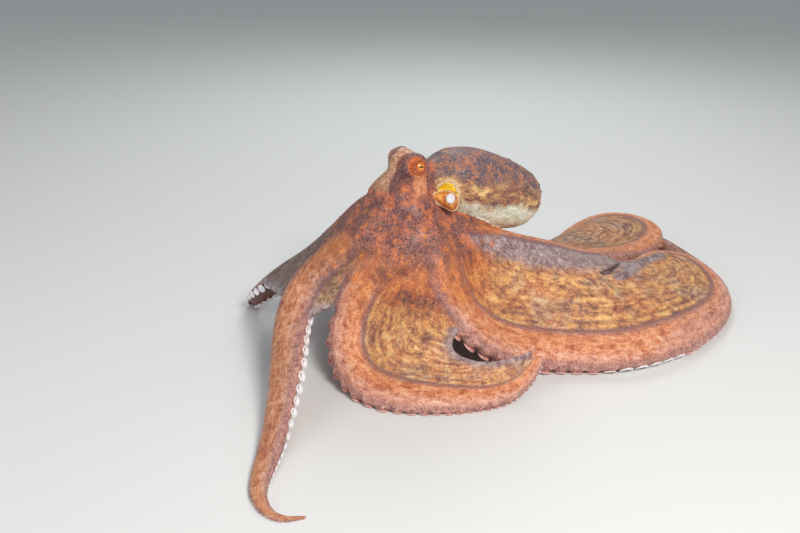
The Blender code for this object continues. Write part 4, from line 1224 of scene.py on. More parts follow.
# The lids: the skin runs over the ball's edge as a ring and dips under the ball inside it.
eye_m = np.zeros(len(points))
lid_m = np.zeros(len(points))
brow_m = np.zeros(len(points))
column_m = np.zeros(len(points))
for side, middle in eye_middle.items():
    axis = eye_axis(side)
    forward = unit(np.array([0, -1.0, 0]) - axis * -axis[1])
    up = np.cross(axis, forward) if side == "R" else np.cross(forward, axis)
    if up[2] < 0:
        up = -up
    rel = points - middle
    x, y, out = rel @ forward, rel @ up, rel @ axis
    front = smooth((out + 1 * MM) / (3 * MM))
    rho = np.hypot(x / 1.10, y / 0.93) / MM
    reach = np.linalg.norm(rel, axis=1)
    target = EYE_RADIUS + (-1.3 + 2.5 * smooth((rho - 4.9) / 2.0)) * MM
    target += (0.5 * np.exp(-((rho - 7.6) / 0.9) ** 2)) * MM
    blend = smooth((12.0 - rho) / 4.0) * front * (reach < 0.018)
    want = middle + rel / np.maximum(reach, 1e-9)[:, None] * target[:, None]
    points = points + blend[:, None] * (want - points)
    # Two shallow folds ring the lids.
    fold = 0.55 * np.exp(-((rho - 9.8) / 0.8) ** 2) + 0.35 * np.exp(-((rho - 12.6) / 0.9) ** 2)
    points = points - (fold * MM * front * (reach < 0.02))[:, None] * normal
    # The brow stands up in an arch over the eye, and a soft column runs down from it.
    xm, ym = x / MM, y / MM
    arch = np.exp(-((np.hypot(xm - 2.0, ym) - 14.0) / 2.4) ** 2) * smooth((ym + 9) / 6) * smooth((out + 9 * MM) / (5 * MM))
    points = points + (1.1 * MM * arch * (reach < 0.024))[:, None] * normal
    brow_m = np.maximum(brow_m, arch * (reach < 0.026))
    column = smooth((9.5 - abs(xm + 1.0)) / 3.5) * smooth((-ym - 5) / 4) * smooth((36 + ym) / 9) * smooth((out + 22 * MM) / (8 * MM))
    points = points + (1.0 * MM * column)[:, None] * normal
    column_m = np.maximum(column_m, column)
    leading = 1.0 if side == "L" else 0.0
    orange = smooth((7.0 + 4.5 * leading - np.hypot((xm - 3.0 * leading) / 1.2, ym - 1.5)) / 4.0)
    eye_m = np.maximum(eye_m, orange * front * (reach < 0.02))
    lid_m = np.maximum(lid_m, np.exp(-((rho - 6.3) / 0.8) ** 2) * front * (reach < 0.02))
points[:, 2] = np.maximum(points[:, 2], 0.0)
skin.points = points
skin_mesh.vertices.foreach_set("co", points.reshape(-1))
skin_mesh.update()
skin_mesh.name = "octopus_skin"
skin_obj = bpy.data.objects.new("octopus_skin", skin_mesh)
bpy.context.scene.collection.objects.link(skin_obj)
skin_mesh.shade_smooth()

# ---------------------------------------------------------------------------------------------------------
# Fields that the skin's material reads, as attributes of its points.


def put(mesh, name, values):
    attribute = mesh.attributes.new(name, "FLOAT", "POINT")
    attribute.data.foreach_set("value", np.asarray(values, np.float32))


near = smooth((0.165 - from_crown) / 0.13)
for name in FIELDS:
    if name not in ("s", "t", "free"):
        put(skin_mesh, name, field(name))
# The arms' free sides are rosier, and so is all of the broad arm's far right.
put(skin_mesh, "free", field("free") + 0.50 * smooth((points @ plan(1.0, 0, 0) - 0.27) / 0.07))
put(skin_mesh, "rib", rib)
put(skin_mesh, "crevice", crevice_shade)
put(skin_mesh, "brow", brow_m)
put(skin_mesh, "column", column_m)
put(skin_mesh, "collar", collar * field("mantle"))
put(skin_mesh, "scallop", scallop)
# The forehead between the eyes, on the right eye's side and down the head's right front, is pale.
forehead = smooth((from_middle + 30 * MM) / (8 * MM)) * smooth((2 * MM - from_middle) / (4 * MM)) * smooth((points[:, 2] - 0.192) / 0.014)
put(skin_mesh, "forehead", forehead * (1 - field("mantle").clip(0, 1)))
put(skin_mesh, "height", points[:, 2])
put(skin_mesh, "near", near)
put(skin_mesh, "round_eye", eye_m)
put(skin_mesh, "lid", lid_m)
put(skin_mesh, "wart", np.clip(wart / (1.2 * MM), 0, 1))
put(skin_mesh, "along", s_field)
vector = skin_mesh.attributes.new("flow", "FLOAT_VECTOR", "POINT")
vector.data.foreach_set("vector", np.column_stack([s_field, t_field, np.zeros(len(points))]).astype(np.float32).reshape(-1))
far_side = smooth((-(points @ plan(0, -1.0, 0)) + 0.02) / 0.16)
put(skin_mesh, "rear", far_side)

# ---------------------------------------------------------------------------------------------------------
# The suckers' meshes.
skin_tree = BVHTree.FromPolygons(points.tolist(), [tuple(p.vertices) for p in skin_mesh.polygons])


def well_placed(middle, axis, r):
    """False for a sucker that would come out through the skin's back."""
    _, facing, _, gap = skin_tree.find_nearest(Vector(middle + axis * 0.4 * r))
    return facing is None or facing.dot(Vector(axis)) > -0.1


def sucker_mesh(names, title):
    points, faces, values, lobes = [], [], [], []
    angle = np.arange(CUP_SIDES) * 2 * math.pi / CUP_SIDES
    for name in names:
        for middle, axis, r, _, _, lobe in all_suckers[name]:
            if not well_placed(middle, axis, r):
                continue
            x = unit(np.cross(axis, (0.31, 0.52, 0.79)))
            y = np.cross(axis, x)
            base = len(points)
            wave = 1 + 0.03 * np.sin(angle * 5 + base)
            for radius, height, value in CUP:
                loop = middle + r * radius * (np.outer(np.cos(angle) * wave, x) + np.outer(np.sin(angle) * wave, y))
                loop = loop + axis * r * height
                points.extend(loop)
                values.extend([value + 0.45 * smooth((2.6 * MM - r) / (0.8 * MM))] * CUP_SIDES)
                lobes.extend([lobe * smooth((r - 2.4 * MM) / (0.8 * MM))] * CUP_SIDES)
            for i in range(len(CUP) - 1):
                for j in range(CUP_SIDES):
                    k = (j + 1) % CUP_SIDES
                    a, b = base + i * CUP_SIDES, base + (i + 1) * CUP_SIDES
                    faces.append((a + j, a + k, b + k, b + j))
            faces.append(tuple(range(base, base + CUP_SIDES))[::-1])
            end = base + (len(CUP) - 1) * CUP_SIDES
            faces.append(tuple(range(end, end + CUP_SIDES)))
    points = np.array(points)
    points[:, 2] = np.maximum(points[:, 2], 0.0)
    obj = mesh_object(title, points, faces)
    put(obj.data, "cup", values)
    put(obj.data, "lobe", lobes)
    obj.data.shade_smooth()
    return obj


suckers_left = sucker_mesh(["L1", "L2", "L3", "L4"], "suckers_left")
suckers_right = sucker_mesh(["R1", "R2", "R3", "R4"], "suckers_right")

# ---------------------------------------------------------------------------------------------------------
# Eyes: a ball each, with the iris and the bar-shaped pupil on its front.
PUPIL_TURN = math.radians(13)
eyes = {}
for side, middle in eye_middle.items():
    rays, faces = sphere_grid(64, 48)
    axis = eye_axis(side)
    forward = unit(np.array([0, -1.0, 0]) - axis * -axis[1])
    up = np.cross(axis, forward)
    if up[2] < 0:
        up = -up
    # The pupil stays level while the head is tipped back.
    forward, up = math.cos(PUPIL_TURN) * forward + math.sin(PUPIL_TURN) * up, math.cos(PUPIL_TURN) * up - math.sin(PUPIL_TURN) * forward
    body = rays[:, :1] * forward + rays[:, 1:2] * up + rays[:, 2:3] * axis
    obj = mesh_object(f"eyeball_{side}", middle + body * EYE_RADIUS, faces)
    look = obj.data.attributes.new("look", "FLOAT_VECTOR", "POINT")
    look.data.foreach_set("vector", rays.astype(np.float32).reshape(-1))
    obj.data.shade_smooth()
    eyes[side] = obj

# ---------------------------------------------------------------------------------------------------------
# Materials.


def linear(r, g, b):
    """A colour given as it looks on a screen (0-255), in the linear values that shaders take."""
    def one(c):
        c = c / 255
        return c / 12.92 if c <= 0.04045 else ((c + 0.055) / 1.055) ** 2.4
    return (one(r), one(g), one(b), 1.0)


class Graph:
    """Short names for the shader nodes used here."""

    def __init__(self, name):
        self.material = bpy.data.materials.new(name)
        self.material.use_nodes = True
        self.tree = self.material.node_tree
        self.shader = self.tree.nodes["Principled BSDF"]
        self.output = next(n for n in self.tree.nodes if n.type == "OUTPUT_MATERIAL")

    def new(self, kind, **settings):
        node = self.tree.nodes.new(kind)
        for key, value in settings.items():
            setattr(node, key, value)
        return node

    def link(self, a, b):
        self.tree.links.new(a, b)

    def plug(self, value, socket):
        if isinstance(value, (int, float)):
            socket.default_value = value
        elif isinstance(value, tuple):
            socket.default_value = value if len(value) == len(socket.default_value) else value[: len(socket.default_value)]
        else:
            self.link(value, socket)

    def attr(self, name, vector=False):
        node = self.new("ShaderNodeAttribute", attribute_name=name)
        return node.outputs["Vector" if vector else "Fac"]

    def place(self):
        return self.new("ShaderNodeTexCoord").outputs["Object"]

    def scaled(self, vector, scale, offset=(0, 0, 0)):
        node = self.new("ShaderNodeMapping")
        self.link(vector, node.inputs["Vector"])
        node.inputs["Scale"].default_value = scale
        node.inputs["Location"].default_value = offset
        return node.outputs["Vector"]

    def noise(self, vector, scale, detail=3.0, rough=0.55, warp=0.0):
        node = self.new("ShaderNodeTexNoise")
        self.link(vector, node.inputs["Vector"])
        for key, value in (("Scale", scale), ("Detail", detail), ("Roughness", rough), ("Distortion", warp)):
            node.inputs[key].default_value = value
        return node.outputs["Fac"]

    def cells(self, vector, scale, feature="F1", jitter=1.0, output="Distance"):
        node = self.new("ShaderNodeTexVoronoi", feature=feature)
        self.link(vector, node.inputs["Vector"])
        node.inputs["Scale"].default_value = scale
        node.inputs["Randomness"].default_value = jitter
        return node.outputs[output]

    def sum_vectors(self, a, b, strength):
        scale = self.new("ShaderNodeVectorMath", operation="SCALE")
        self.link(b, scale.inputs[0])
        scale.inputs["Scale"].default_value = strength
        add = self.new("ShaderNodeVectorMath", operation="ADD")
        self.link(a, add.inputs[0])
        self.link(scale.outputs[0], add.inputs[1])
        return add.outputs[0]

    def noise_vector(self, vector, scale):
        node = self.new("ShaderNodeTexNoise")
        self.link(vector, node.inputs["Vector"])
        node.inputs["Scale"].default_value = scale
        node.inputs["Detail"].default_value = 2.0
        shift = self.new("ShaderNodeVectorMath", operation="SUBTRACT")
        self.link(node.outputs["Color"], shift.inputs[0])
        shift.inputs[1].default_value = (0.5, 0.5, 0.5)
        return shift.outputs[0]

    def step(self, value, low, high, to_low=0.0, to_high=1.0):
        node = self.new("ShaderNodeMapRange", interpolation_type="SMOOTHSTEP")
        self.plug(value, node.inputs["Value"])
        for key, number in (("From Min", low), ("From Max", high), ("To Min", to_low), ("To Max", to_high)):
            node.inputs[key].default_value = number
        return node.outputs["Result"]

    def math(self, operation, a, b=0.0, clamp=False):
        node = self.new("ShaderNodeMath", operation=operation, use_clamp=clamp)
        self.plug(a, node.inputs[0])
        self.plug(b, node.inputs[1])
        return node.outputs[0]

    def times(self, *values):
        found = values[0]
        for value in values[1:]:
            found = self.math("MULTIPLY", found, value)
        return found

    def mix(self, share, a, b):
        node = self.new("ShaderNodeMix", data_type="RGBA")
        self.plug(share, node.inputs[0])
        self.plug(a, node.inputs[6])
        self.plug(b, node.inputs[7])
        return node.outputs[2]

    def ramp(self, value, stops):
        node = self.new("ShaderNodeValToRGB")
        self.plug(value, node.inputs["Fac"])
        elements = node.color_ramp.elements
        while len(elements) < len(stops):
            elements.new(0.5)
        for element, (at, colour) in zip(elements, stops):
            element.position, element.color = at, colour
        return node.outputs["Color"]

    def bump(self, height, distance, strength=1.0, onto=None):
        node = self.new("ShaderNodeBump")
        self.link(height, node.inputs["Height"])
        node.inputs["Distance"].default_value = distance
        node.inputs["Strength"].default_value = strength
        if onto is not None:
            self.link(onto, node.inputs["Normal"])
        return node.outputs["Normal"]

    def set(self, **values):
        for key, value in values.items():
            self.plug(value, self.shader.inputs[key.replace("_", " ")])


PURPLE = linear(122, 84, 98)
ROSE = linear(176, 122, 116)
CREAM = linear(244, 220, 178)
GREY_LILAC = linear(150, 132, 132)
YELLOW = linear(255, 218, 48)


def skin_material():
    g = Graph("octopus_skin")
    here = g.place()
    flow = g.attr("flow", vector=True)
    at = {name: g.attr(name) for name in FIELDS if name not in ("s", "t", "across")}
    at.update({name: g.attr(name) for name in ("near", "round_eye", "lid", "wart", "rear", "brow", "column", "collar", "crevice", "rib",
                                               "scallop", "forehead", "height")})
    on_mantle = g.step(at["mantle"], 0.3, 0.7)
    off_mantle = g.step(at["mantle"], 0.3, 0.7, 1.0, 0.0)

    # Streaks and mottling that run with the arms, specks, and larger clouds.
    bent = g.sum_vectors(flow, g.noise_vector(here, 34), 0.010)
    streak = g.noise(g.scaled(bent, (62, 165, 1)), 1.0, 4, 0.62)
    fleck = g.noise(g.scaled(bent, (120, 420, 1), (3, 7, 0)), 1.0, 3, 0.65)
    blotch = g.noise(here, 40, 3, 0.55, 0.4)
    broad = g.noise(here, 13, 2, 0.5)
    grain = g.noise(here, 520, 3, 0.62)
    speck = g.noise(here, 900, 2, 0.5)
    mottle = g.noise(here, 150, 3, 0.6, 0.3)

    # The net: small dark cells, each with its own tone, parted by paler joints.
    net_bend = g.sum_vectors(here, g.noise_vector(here, 130), 0.0030)
    net_edge = g.cells(net_bend, 380, "DISTANCE_TO_EDGE")
    joint = g.step(net_edge, 0.04, 0.17, 1.0, 0.0)
    own = g.new("ShaderNodeSeparateColor")
    g.link(g.cells(net_bend, 380, "F1", output="Color"), own.inputs[0])
    own_tone = own.outputs[0]
    patch = g.noise(here, 70, 2, 0.5)

    # Web: gold and brown mottling in streaks, gathered into longer light and dark bands.
    band = g.noise(g.scaled(bent, (24, 74, 1), (11, 4, 0)), 1.0, 3, 0.60)
    web_value = g.math("ADD", g.math("ADD", g.times(streak, 0.36), g.times(fleck, 0.10)), g.math("ADD", g.times(mottle, 0.28), g.times(grain, 0.18)))
    web_value = g.math("ADD", web_value, g.math("SUBTRACT", g.times(band, 0.34), 0.13))
    web = g.ramp(web_value, [(0.40, linear(124, 80, 66)), (0.45, linear(166, 110, 80)), (0.495, linear(200, 140, 92)),
                             (0.54, linear(228, 166, 98)), (0.60, linear(244, 204, 138))])
    orange = g.ramp(web_value, [(0.40, linear(136, 72, 54)), (0.49, linear(206, 126, 78)), (0.60, linear(246, 188, 130))])
    web = g.mix(g.times(g.step(g.noise(here, 24, 3, 0.55, 0.3), 0.45, 0.61), 0.72), web, orange)
    rust_value = g.math("ADD", g.math("ADD", g.times(blotch, 0.42), g.times(streak, 0.22)), g.math("ADD", g.times(grain, 0.20), g.times(mottle, 0.16)))
    rust = g.ramp(rust_value, [(0.39, linear(92, 52, 52)), (0.45, linear(146, 78, 54)), (0.505, linear(192, 106, 58)),
                               (0.56, linear(220, 136, 72)), (0.64, linear(240, 182, 112))])
    greyed = g.times(g.step(g.noise(here, 21, 4, 0.6, 0.5), 0.49, 0.64), 0.62)
    web = g.mix(greyed, web, g.ramp(web_value, [(0.41, linear(108, 82, 80)), (0.50, linear(168, 138, 116)), (0.59, linear(216, 194, 166))]))
    # Painted shade in the grooves: the web goes darker where the ribs dip.
    web = g.mix(g.times(g.step(at["rib"], -0.25, -0.85), 0.34), web, linear(132, 84, 76))
    nearness = g.math("ADD", at["near"], g.times(g.math("SUBTRACT", broad, 0.5), 0.8))
    web = g.mix(g.step(nearness, 0.04, 0.58), web, rust)
    cool_value = g.math("ADD", g.times(fleck, 0.5), g.times(mottle, 0.5))
    cool = g.ramp(cool_value, [(0.40, linear(106, 90, 102)), (0.50, linear(152, 134, 140)), (0.60, linear(192, 176, 178))])
    web = g.mix(g.times(g.step(g.math("ADD", at["cool"], g.times(g.math("SUBTRACT", streak, 0.5), 1.4)), 0.22, 0.85), 0.86), web, cool)

    # Arms: orange-pink backs with pale flecks and darker clouds.
    arm_value = g.math("ADD", g.math("ADD", g.times(fleck, 0.20), g.times(streak, 0.32)), g.math("ADD", g.times(mottle, 0.24), g.times(grain, 0.24)))
    arm = g.ramp(arm_value, [(0.39, linear(150, 78, 56)), (0.45, linear(196, 110, 70)), (0.505, linear(226, 144, 98)),
                             (0.57, linear(242, 176, 130)), (0.65, linear(252, 214, 180))])
    outer = g.ramp(arm_value, [(0.39, linear(140, 92, 90)), (0.45, linear(190, 124, 106)), (0.505, linear(220, 154, 128)),
                               (0.57, linear(236, 180, 154)), (0.65, linear(248, 216, 198))])
    arm = g.mix(g.step(g.math("ADD", at["free"], g.times(g.math("SUBTRACT", mottle, 0.5), 1.1)), 0.52, 0.98), arm, outer)
    arm = g.mix(g.times(g.step(nearness, 0.10, 0.60), 0.85), arm, rust)
    arm_share = g.step(g.math("ADD", at["arm"], g.times(g.math("SUBTRACT", web_value, 0.5), -1.6)), 0.12, 0.88)
    body = g.mix(arm_share, web, arm)

    ridge_share = g.times(g.step(at["ridge"], 0.35, 0.95), g.step(nearness, 0.10, 0.50), off_mantle, g.step(at["under"], 0.2, 0.6, 1.0, 0.0))
    body = g.mix(g.times(ridge_share, 0.62), body, g.ramp(arm_value, [(0.42, linear(204, 104, 50)), (0.56, linear(240, 156, 92))]))

    # Tan parts; painted shade where arms and webs face away from the light, and more where they lie far from it.
    tan = g.ramp(web_value, [(0.40, linear(112, 82, 68)), (0.50, linear(176, 134, 98)), (0.60, linear(222, 186, 142))])
    body = g.mix(g.times(at["tan"], g.step(at["ridge"], 0.15, 0.8, 0.75, 0.25)), body, tan)
    dull = g.ramp(web_value, [(0.40, linear(52, 38, 38)), (0.50, linear(88, 68, 62)), (0.60, linear(126, 104, 86))])
    body = g.mix(g.times(at["dull"], 0.88), body, dull)
    body = g.mix(g.times(at["far"], 0.45), body, g.ramp(web_value, [(0.42, linear(84, 66, 66)), (0.58, linear(150, 116, 100))]))

    # The purple-grey line between each arm's back and the web.
    line = g.times(g.step(at["seam"], 0.28, 0.80), g.step(mottle, 0.36, 0.56, 0.55, 1.0), g.step(at["near"], 0.2, 0.9, 1.0, 0.3))
    body = g.mix(g.times(line, 0.74), body, PURPLE)
    # The arms' edges go rose and purple over the suckers.
    edge_value = g.math("ADD", g.times(grain, 0.5), g.times(mottle, 0.5))
    edge = g.ramp(edge_value, [(0.42, linear(136, 92, 98)), (0.50, linear(196, 138, 124)), (0.60, linear(232, 176, 156))])
    rim = g.math("ADD", g.times(g.step(at["rim"], 0.30, 0.95), 0.70), g.times(at["scallop"], 0.35), clamp=True)
    body = g.mix(g.times(rim, at["arm"], g.step(at["near"], 0.3, 0.9, 1.0, 0.0)), body, edge)
    # Web margins are grey-blue.
    body = g.mix(g.times(g.step(at["edge"], 0.06, 0.70), 0.85), body, cool)

    # Head and crown.
    head = g.ramp(rust_value, [(0.39, linear(70, 44, 48)), (0.46, linear(122, 70, 60)), (0.52, linear(164, 94, 66)),
                               (0.60, linear(206, 136, 90))])
    body = g.mix(g.step(at["head"], 0.2, 0.8), body, head)
    # The net over the head and the tent's top.
    cell_value = g.math("ADD", g.times(own_tone, 0.42), g.times(g.math("SUBTRACT", patch, 0.5), 1.7))
    cell = g.ramp(g.math("ADD", cell_value, 0.25), [(0.20, linear(58, 36, 50)), (0.42, linear(104, 60, 62)), (0.60, linear(170, 84, 48)),
                                (0.80, linear(226, 122, 54))])
    netted = g.mix(g.times(joint, 0.70), cell, g.mix(g.step(at["near"], 0.55, 0.95), linear(200, 122, 80), linear(176, 118, 112)))
    net_share = g.times(g.step(g.math("ADD", at["near"], g.times(g.math("SUBTRACT", blotch, 0.5), 1.0)), 0.48, 0.96),
                        g.step(at["round_eye"], 0.0, 0.5, 1.0, 0.0), off_mantle, g.step(at["under"], 0.2, 0.7, 1.0, 0.0),
                        g.step(at["forehead"], 0.2, 0.8, 1.0, 0.35))
    body = g.mix(g.times(net_share, 0.88), body, netted)
    # Orange rosettes and dark clouds on the tent.
    rose_spot = g.cells(g.sum_vectors(here, g.noise_vector(here, 90), 0.003), 72, "F1")
    spot = g.times(g.step(rose_spot, 0.14, 0.30, 1.0, 0.0), g.step(at["near"], 0.12, 0.42), off_mantle,
                   g.step(at["under"], 0.2, 0.7, 1.0, 0.0), g.step(at["head"], 0.4, 0.9, 1.0, 0.3))
    body = g.mix(g.times(spot, 0.60), body, g.ramp(grain, [(0.42, linear(206, 96, 36)), (0.58, linear(240, 158, 72))]))
    cloud = g.times(g.step(g.noise(here, 46, 3, 0.6), 0.53, 0.64), g.step(at["near"], 0.08, 0.5), off_mantle)
    body = g.mix(g.times(cloud, 0.50), body, linear(84, 48, 54))

    # Mantle: a purple-brown net above, gold and brown on the flank, pale green-white below, brownish warts behind.
    top_cell = g.ramp(g.math("ADD", g.times(own_tone, 0.35), g.times(patch, 0.75)), [
        (0.34, linear(66, 54, 70)), (0.50, linear(98, 76, 86)), (0.60, linear(148, 92, 72)), (0.74, linear(194, 120, 74))])
    top = g.mix(g.times(joint, 0.60), top_cell, linear(142, 118, 118))
    flank_value = g.math("ADD", g.times(g.noise(g.scaled(here, (70, 46, 100)), 1.0, 4, 0.62), 0.7), g.times(grain, 0.3))
    flank = g.ramp(flank_value, [(0.41, linear(112, 74, 70)), (0.47, linear(160, 110, 82)), (0.53, linear(206, 154, 98)),
                                 (0.60, linear(244, 208, 140))])
    below = g.ramp(g.math("ADD", g.times(mottle, 0.6), g.times(grain, 0.4)), [
        (0.42, linear(206, 206, 178)), (0.50, linear(236, 238, 216)), (0.60, linear(250, 252, 240))])
    tone = g.math("ADD", at["tone"], g.times(g.math("SUBTRACT", blotch, 0.5), 0.9))
    mantle = g.mix(g.step(tone, -0.52, -0.22), below, flank)
    mantle = g.mix(g.step(tone, 0.06, 0.50), mantle, top)
    rear = g.times(g.step(at["wart"], 0.05, 0.6), 1.0)
    mantle = g.mix(g.times(rear, 0.35), mantle, linear(206, 190, 150))
    collar = g.ramp(g.math("ADD", g.times(mottle, 0.6), g.times(grain, 0.4)), [(0.42, linear(190, 140, 92)), (0.56, linear(238, 200, 146))])
    mantle = g.mix(g.times(at["collar"], g.step(tone, 0.25, 0.7, 0.85, 0.25)), mantle, collar)
    body = g.mix(on_mantle, body, mantle)

    # Underside: pale, rosy and finely speckled.
    under = g.mix(g.step(grain, 0.44, 0.58), linear(214, 180, 164), linear(172, 130, 124))
    body = g.mix(g.times(g.step(at["under"], 0.45, 0.95), g.step(at["mantle"], 0.2, 0.6, 1.0, 0.0), 0.85), body, under)

    # Forehead, brow, the column under the eye, and the deep orange round it.
    pale = g.ramp(g.math("ADD", g.times(mottle, 0.4), g.times(grain, 0.6)), [(0.42, linear(154, 106, 84)), (0.51, linear(206, 154, 120)), (0.60, linear(236, 194, 158))])
    body = g.mix(g.times(at["forehead"], 0.84), body, pale)
    column = g.ramp(g.math("ADD", g.times(mottle, 0.5), g.times(grain, 0.5)), [(0.42, linear(184, 100, 64)), (0.56, linear(234, 158, 112))])
    body = g.mix(g.times(at["column"], off_mantle, 0.86), body, column)
    body = g.mix(g.times(at["round_eye"], 0.92), body, g.ramp(grain, [(0.40, linear(182, 76, 18)), (0.60, linear(228, 114, 32))]))
    body = g.mix(g.times(g.step(at["brow"], 0.15, 0.8), 0.85), body, g.ramp(grain, [(0.40, linear(84, 60, 68)), (0.60, linear(132, 100, 104))]))
    body = g.mix(g.times(at["lid"], 0.60), body, linear(96, 40, 24))

    # Opening, funnel, lips and mouth.
    hollow = g.ramp(g.noise(here, 150, 2, 0.5), [(0.35, linear(255, 198, 30)), (0.62, YELLOW)])
    body = g.mix(g.step(at["cavity"], 0.2, 0.6), body, hollow)
    tube = g.ramp(g.math("ADD", g.times(mottle, 0.6), g.times(grain, 0.4)), [(0.42, linear(168, 84, 44)), (0.50, linear(210, 120, 48)), (0.60, linear(236, 160, 70))])
    body = g.mix(g.step(at["funnel"], 0.3, 0.7), body, tube)
    body = g.mix(g.step(at["lip"], 0.25, 0.75), body, g.ramp(grain, [(0.38, linear(216, 176, 134)), (0.60, CREAM)]))
    body = g.mix(g.step(at["mouth"], 0.25, 0.7), body, linear(226, 222, 226))

    # Painted shade: the crevice is dark, and so is the flat of the right front arm's underside on the shaded side.
    body = g.mix(g.times(g.step(at["crevice"], 0.18, 0.80), 0.94), body, linear(58, 30, 30))
    body = g.mix(g.times(g.step(at["under"], 0.4, 0.9), g.step(at["dull"], 0.45, 0.75), g.step(at["arm"], 0.4, 0.9), 0.85), body, linear(96, 52, 50))

    # Fine pale and dark specks all over.
    body = g.mix(g.times(g.step(speck, 0.58, 0.70), 0.35), body, linear(246, 214, 182))
    body = g.mix(g.times(g.step(speck, 0.42, 0.31), 0.40), body, linear(84, 50, 50))

    height = g.math("ADD", g.times(fleck, 0.5), g.times(grain, 0.5))
    height = g.math("ADD", height, g.times(g.step(net_edge, 0.0, 0.2), 0.30))
    g.set(Base_Color=body, Roughness=g.step(blotch, 0.3, 0.7, 0.36, 0.50), Normal=g.bump(height, 0.0012, 0.8))
    g.set(Specular_IOR_Level=0.36, Subsurface_Weight=0.08, Subsurface_Scale=0.003, Coat_Weight=0.10, Coat_Roughness=0.28)
    g.shader.inputs["Subsurface Radius"].default_value = (1.0, 0.45, 0.25)
    return g.material


def sucker_material():
    g = Graph("sucker")
    here = g.place()
    cup = g.attr("cup")
    speck = g.noise(here, 500, 3, 0.6)
    wall = g.ramp(speck, [(0.38, linear(128, 76, 84)), (0.60, linear(196, 130, 122))])
    rim = g.ramp(speck, [(0.34, linear(222, 214, 216)), (0.58, linear(250, 248, 250))])
    lobe = g.attr("lobe")
    wall = g.mix(lobe, wall, g.ramp(speck, [(0.38, linear(190, 112, 96)), (0.60, linear(226, 154, 132))]))
    rim = g.mix(lobe, rim, g.ramp(speck, [(0.38, linear(196, 134, 130)), (0.60, linear(226, 186, 184))]))
    body = g.mix(g.step(cup, 0.15, 0.60), wall, rim)
    g.set(Base_Color=body, Roughness=0.38, Normal=g.bump(speck, 0.0006, 0.6))
    g.set(Subsurface_Weight=0.10, Subsurface_Scale=0.003, Coat_Weight=0.15, Coat_Roughness=0.25)
    g.shader.inputs["Subsurface Radius"].default_value = (1.0, 0.5, 0.4)
    return g.material


def eye_material():
    g = Graph("eyeball")
    look = g.attr("look", vector=True)
    split = g.new("ShaderNodeSeparateXYZ")
    g.link(look, split.inputs[0])
    x, y, z = split.outputs
    reach = g.math("SQRT", g.math("ADD", g.math("POWER", x, 2.0), g.math("POWER", y, 2.0)))
    grain = g.noise(look, 14, 4, 0.65)
    iris = g.ramp(g.math("ADD", g.times(reach, 0.9), g.times(grain, 0.35)), [
        (0.25, linear(232, 148, 30)), (0.55, linear(214, 112, 20)), (0.85, linear(150, 62, 14))])
    # A level bar with rounded ends.
    along = g.math("MAXIMUM", g.math("SUBTRACT", g.math("ABSOLUTE", x), 0.26), 0.0)
    gap = g.math("SQRT", g.math("ADD", g.math("POWER", along, 2.0), g.math("POWER", g.times(y, 1.15), 2.0)))
    pupil = g.step(gap, 0.105, 0.135, 1.0, 0.0)
    colour = g.mix(pupil, iris, linear(14, 12, 16))
    colour = g.mix(g.times(g.step(gap, 0.14, 0.22, 1.0, 0.0), g.math("SUBTRACT", 1.0, pupil), 0.6), colour, linear(248, 190, 60))
    colour = g.mix(g.step(z, 0.0, 0.45, 1.0, 0.0), colour, linear(150, 96, 60))
    g.set(Base_Color=colour, Roughness=0.12, Normal=g.bump(grain, 0.0003, 0.3), Coat_Weight=0.9, Coat_Roughness=0.03)
    return g.material


skin_obj.data.materials.clear()
skin_obj.data.materials.append(skin_material())
sucker_finish = sucker_material()
for obj in (suckers_left, suckers_right):
    obj.data.materials.append(sucker_finish)
eye_finish = eye_material()
for obj in eyes.values():
    obj.data.materials.append(eye_finish)

# ---------------------------------------------------------------------------------------------------------
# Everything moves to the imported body's origin and rides on it.
move = Matrix.Translation(-Vector(SHIFT))
for obj in (skin_obj, suckers_left, suckers_right, *eyes.values()):
    obj.data.transform(move)
    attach(obj, "root")
flesh = [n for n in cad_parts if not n.startswith("eye_")]
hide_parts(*flesh)
for side, obj in eyes.items():
    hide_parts(f"eye_{side}")

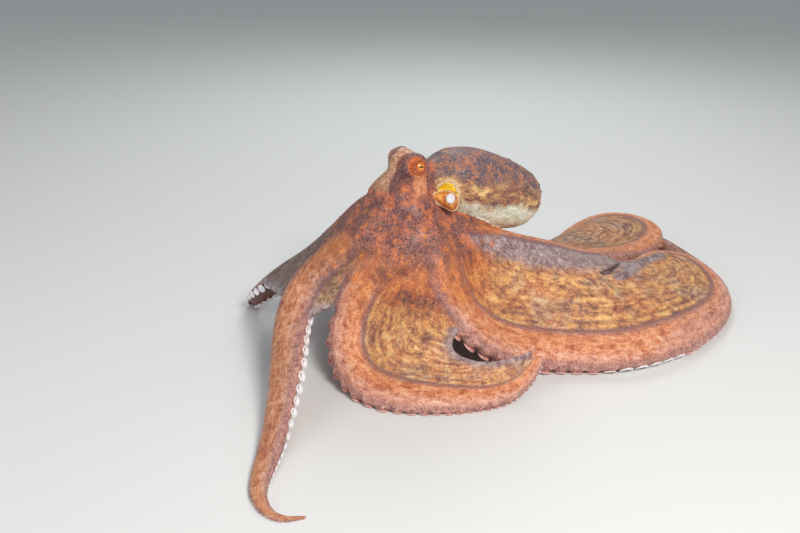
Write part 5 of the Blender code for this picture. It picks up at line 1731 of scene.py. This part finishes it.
# ---------------------------------------------------------------------------------------------------------
# Floor, light and camera.
floor_mesh = bpy.data.meshes.new("floor")
floor_mesh.from_pydata([(-4, -4, 0), (4, -4, 0), (4, 4, 0), (-4, 4, 0)], [], [(0, 1, 2, 3)])
floor = bpy.data.objects.new("floor", floor_mesh)
bpy.context.scene.collection.objects.link(floor)
floor_look = Graph("floor")
floor_look.set(Base_Color=linear(226, 226, 224), Roughness=0.85)
floor_mesh.materials.append(floor_look.material)

world = bpy.data.worlds.new("studio")
world.use_nodes = True
world.node_tree.nodes["Background"].inputs["Color"].default_value = (0.86, 0.90, 0.95, 1)
world.node_tree.nodes["Background"].inputs["Strength"].default_value = 0.36
bpy.context.scene.world = world


def area_light(name, at, towards, size, power, colour=(1, 1, 1)):
    light = bpy.data.lights.new(name, "AREA")
    light.shape, light.size, light.energy, light.color = "DISK", size, power, colour
    obj = bpy.data.objects.new(name, light)
    obj.location = Vector(plan(*at) - SHIFT)
    aim = Vector(plan(*towards) - SHIFT) - obj.location
    obj.rotation_euler = aim.to_track_quat("-Z", "Y").to_euler()
    bpy.context.scene.collection.objects.link(obj)


area_light("key", (0.55, -1.15, 1.25), (0.05, 0.0, 0.08), 0.55, 22, (1.0, 0.97, 0.93))
area_light("fill", (-1.2, -0.9, 0.8), (0.0, 0.0, 0.1), 0.9, 4.5, (0.94, 0.97, 1.0))
area_light("back", (0.2, 1.3, 1.3), (0.0, 0.1, 0.1), 0.8, 9, (0.95, 0.98, 1.0))

camera_data = bpy.data.cameras.new("camera")
camera_data.lens, camera_data.sensor_width = LENS, 36.0
camera_data.clip_start = 0.01
camera = bpy.data.objects.new("camera", camera_data)
camera.location = Vector(plan(*CAMERA_AT) - SHIFT)
aim = Vector(plan(*CAMERA_LOOKS_AT) - SHIFT) - camera.location
camera.rotation_euler = aim.to_track_quat("-Z", "Y").to_euler()
bpy.context.scene.collection.objects.link(camera)
bpy.context.scene.camera = camera
bpy.context.scene.view_settings.view_transform = "Standard"
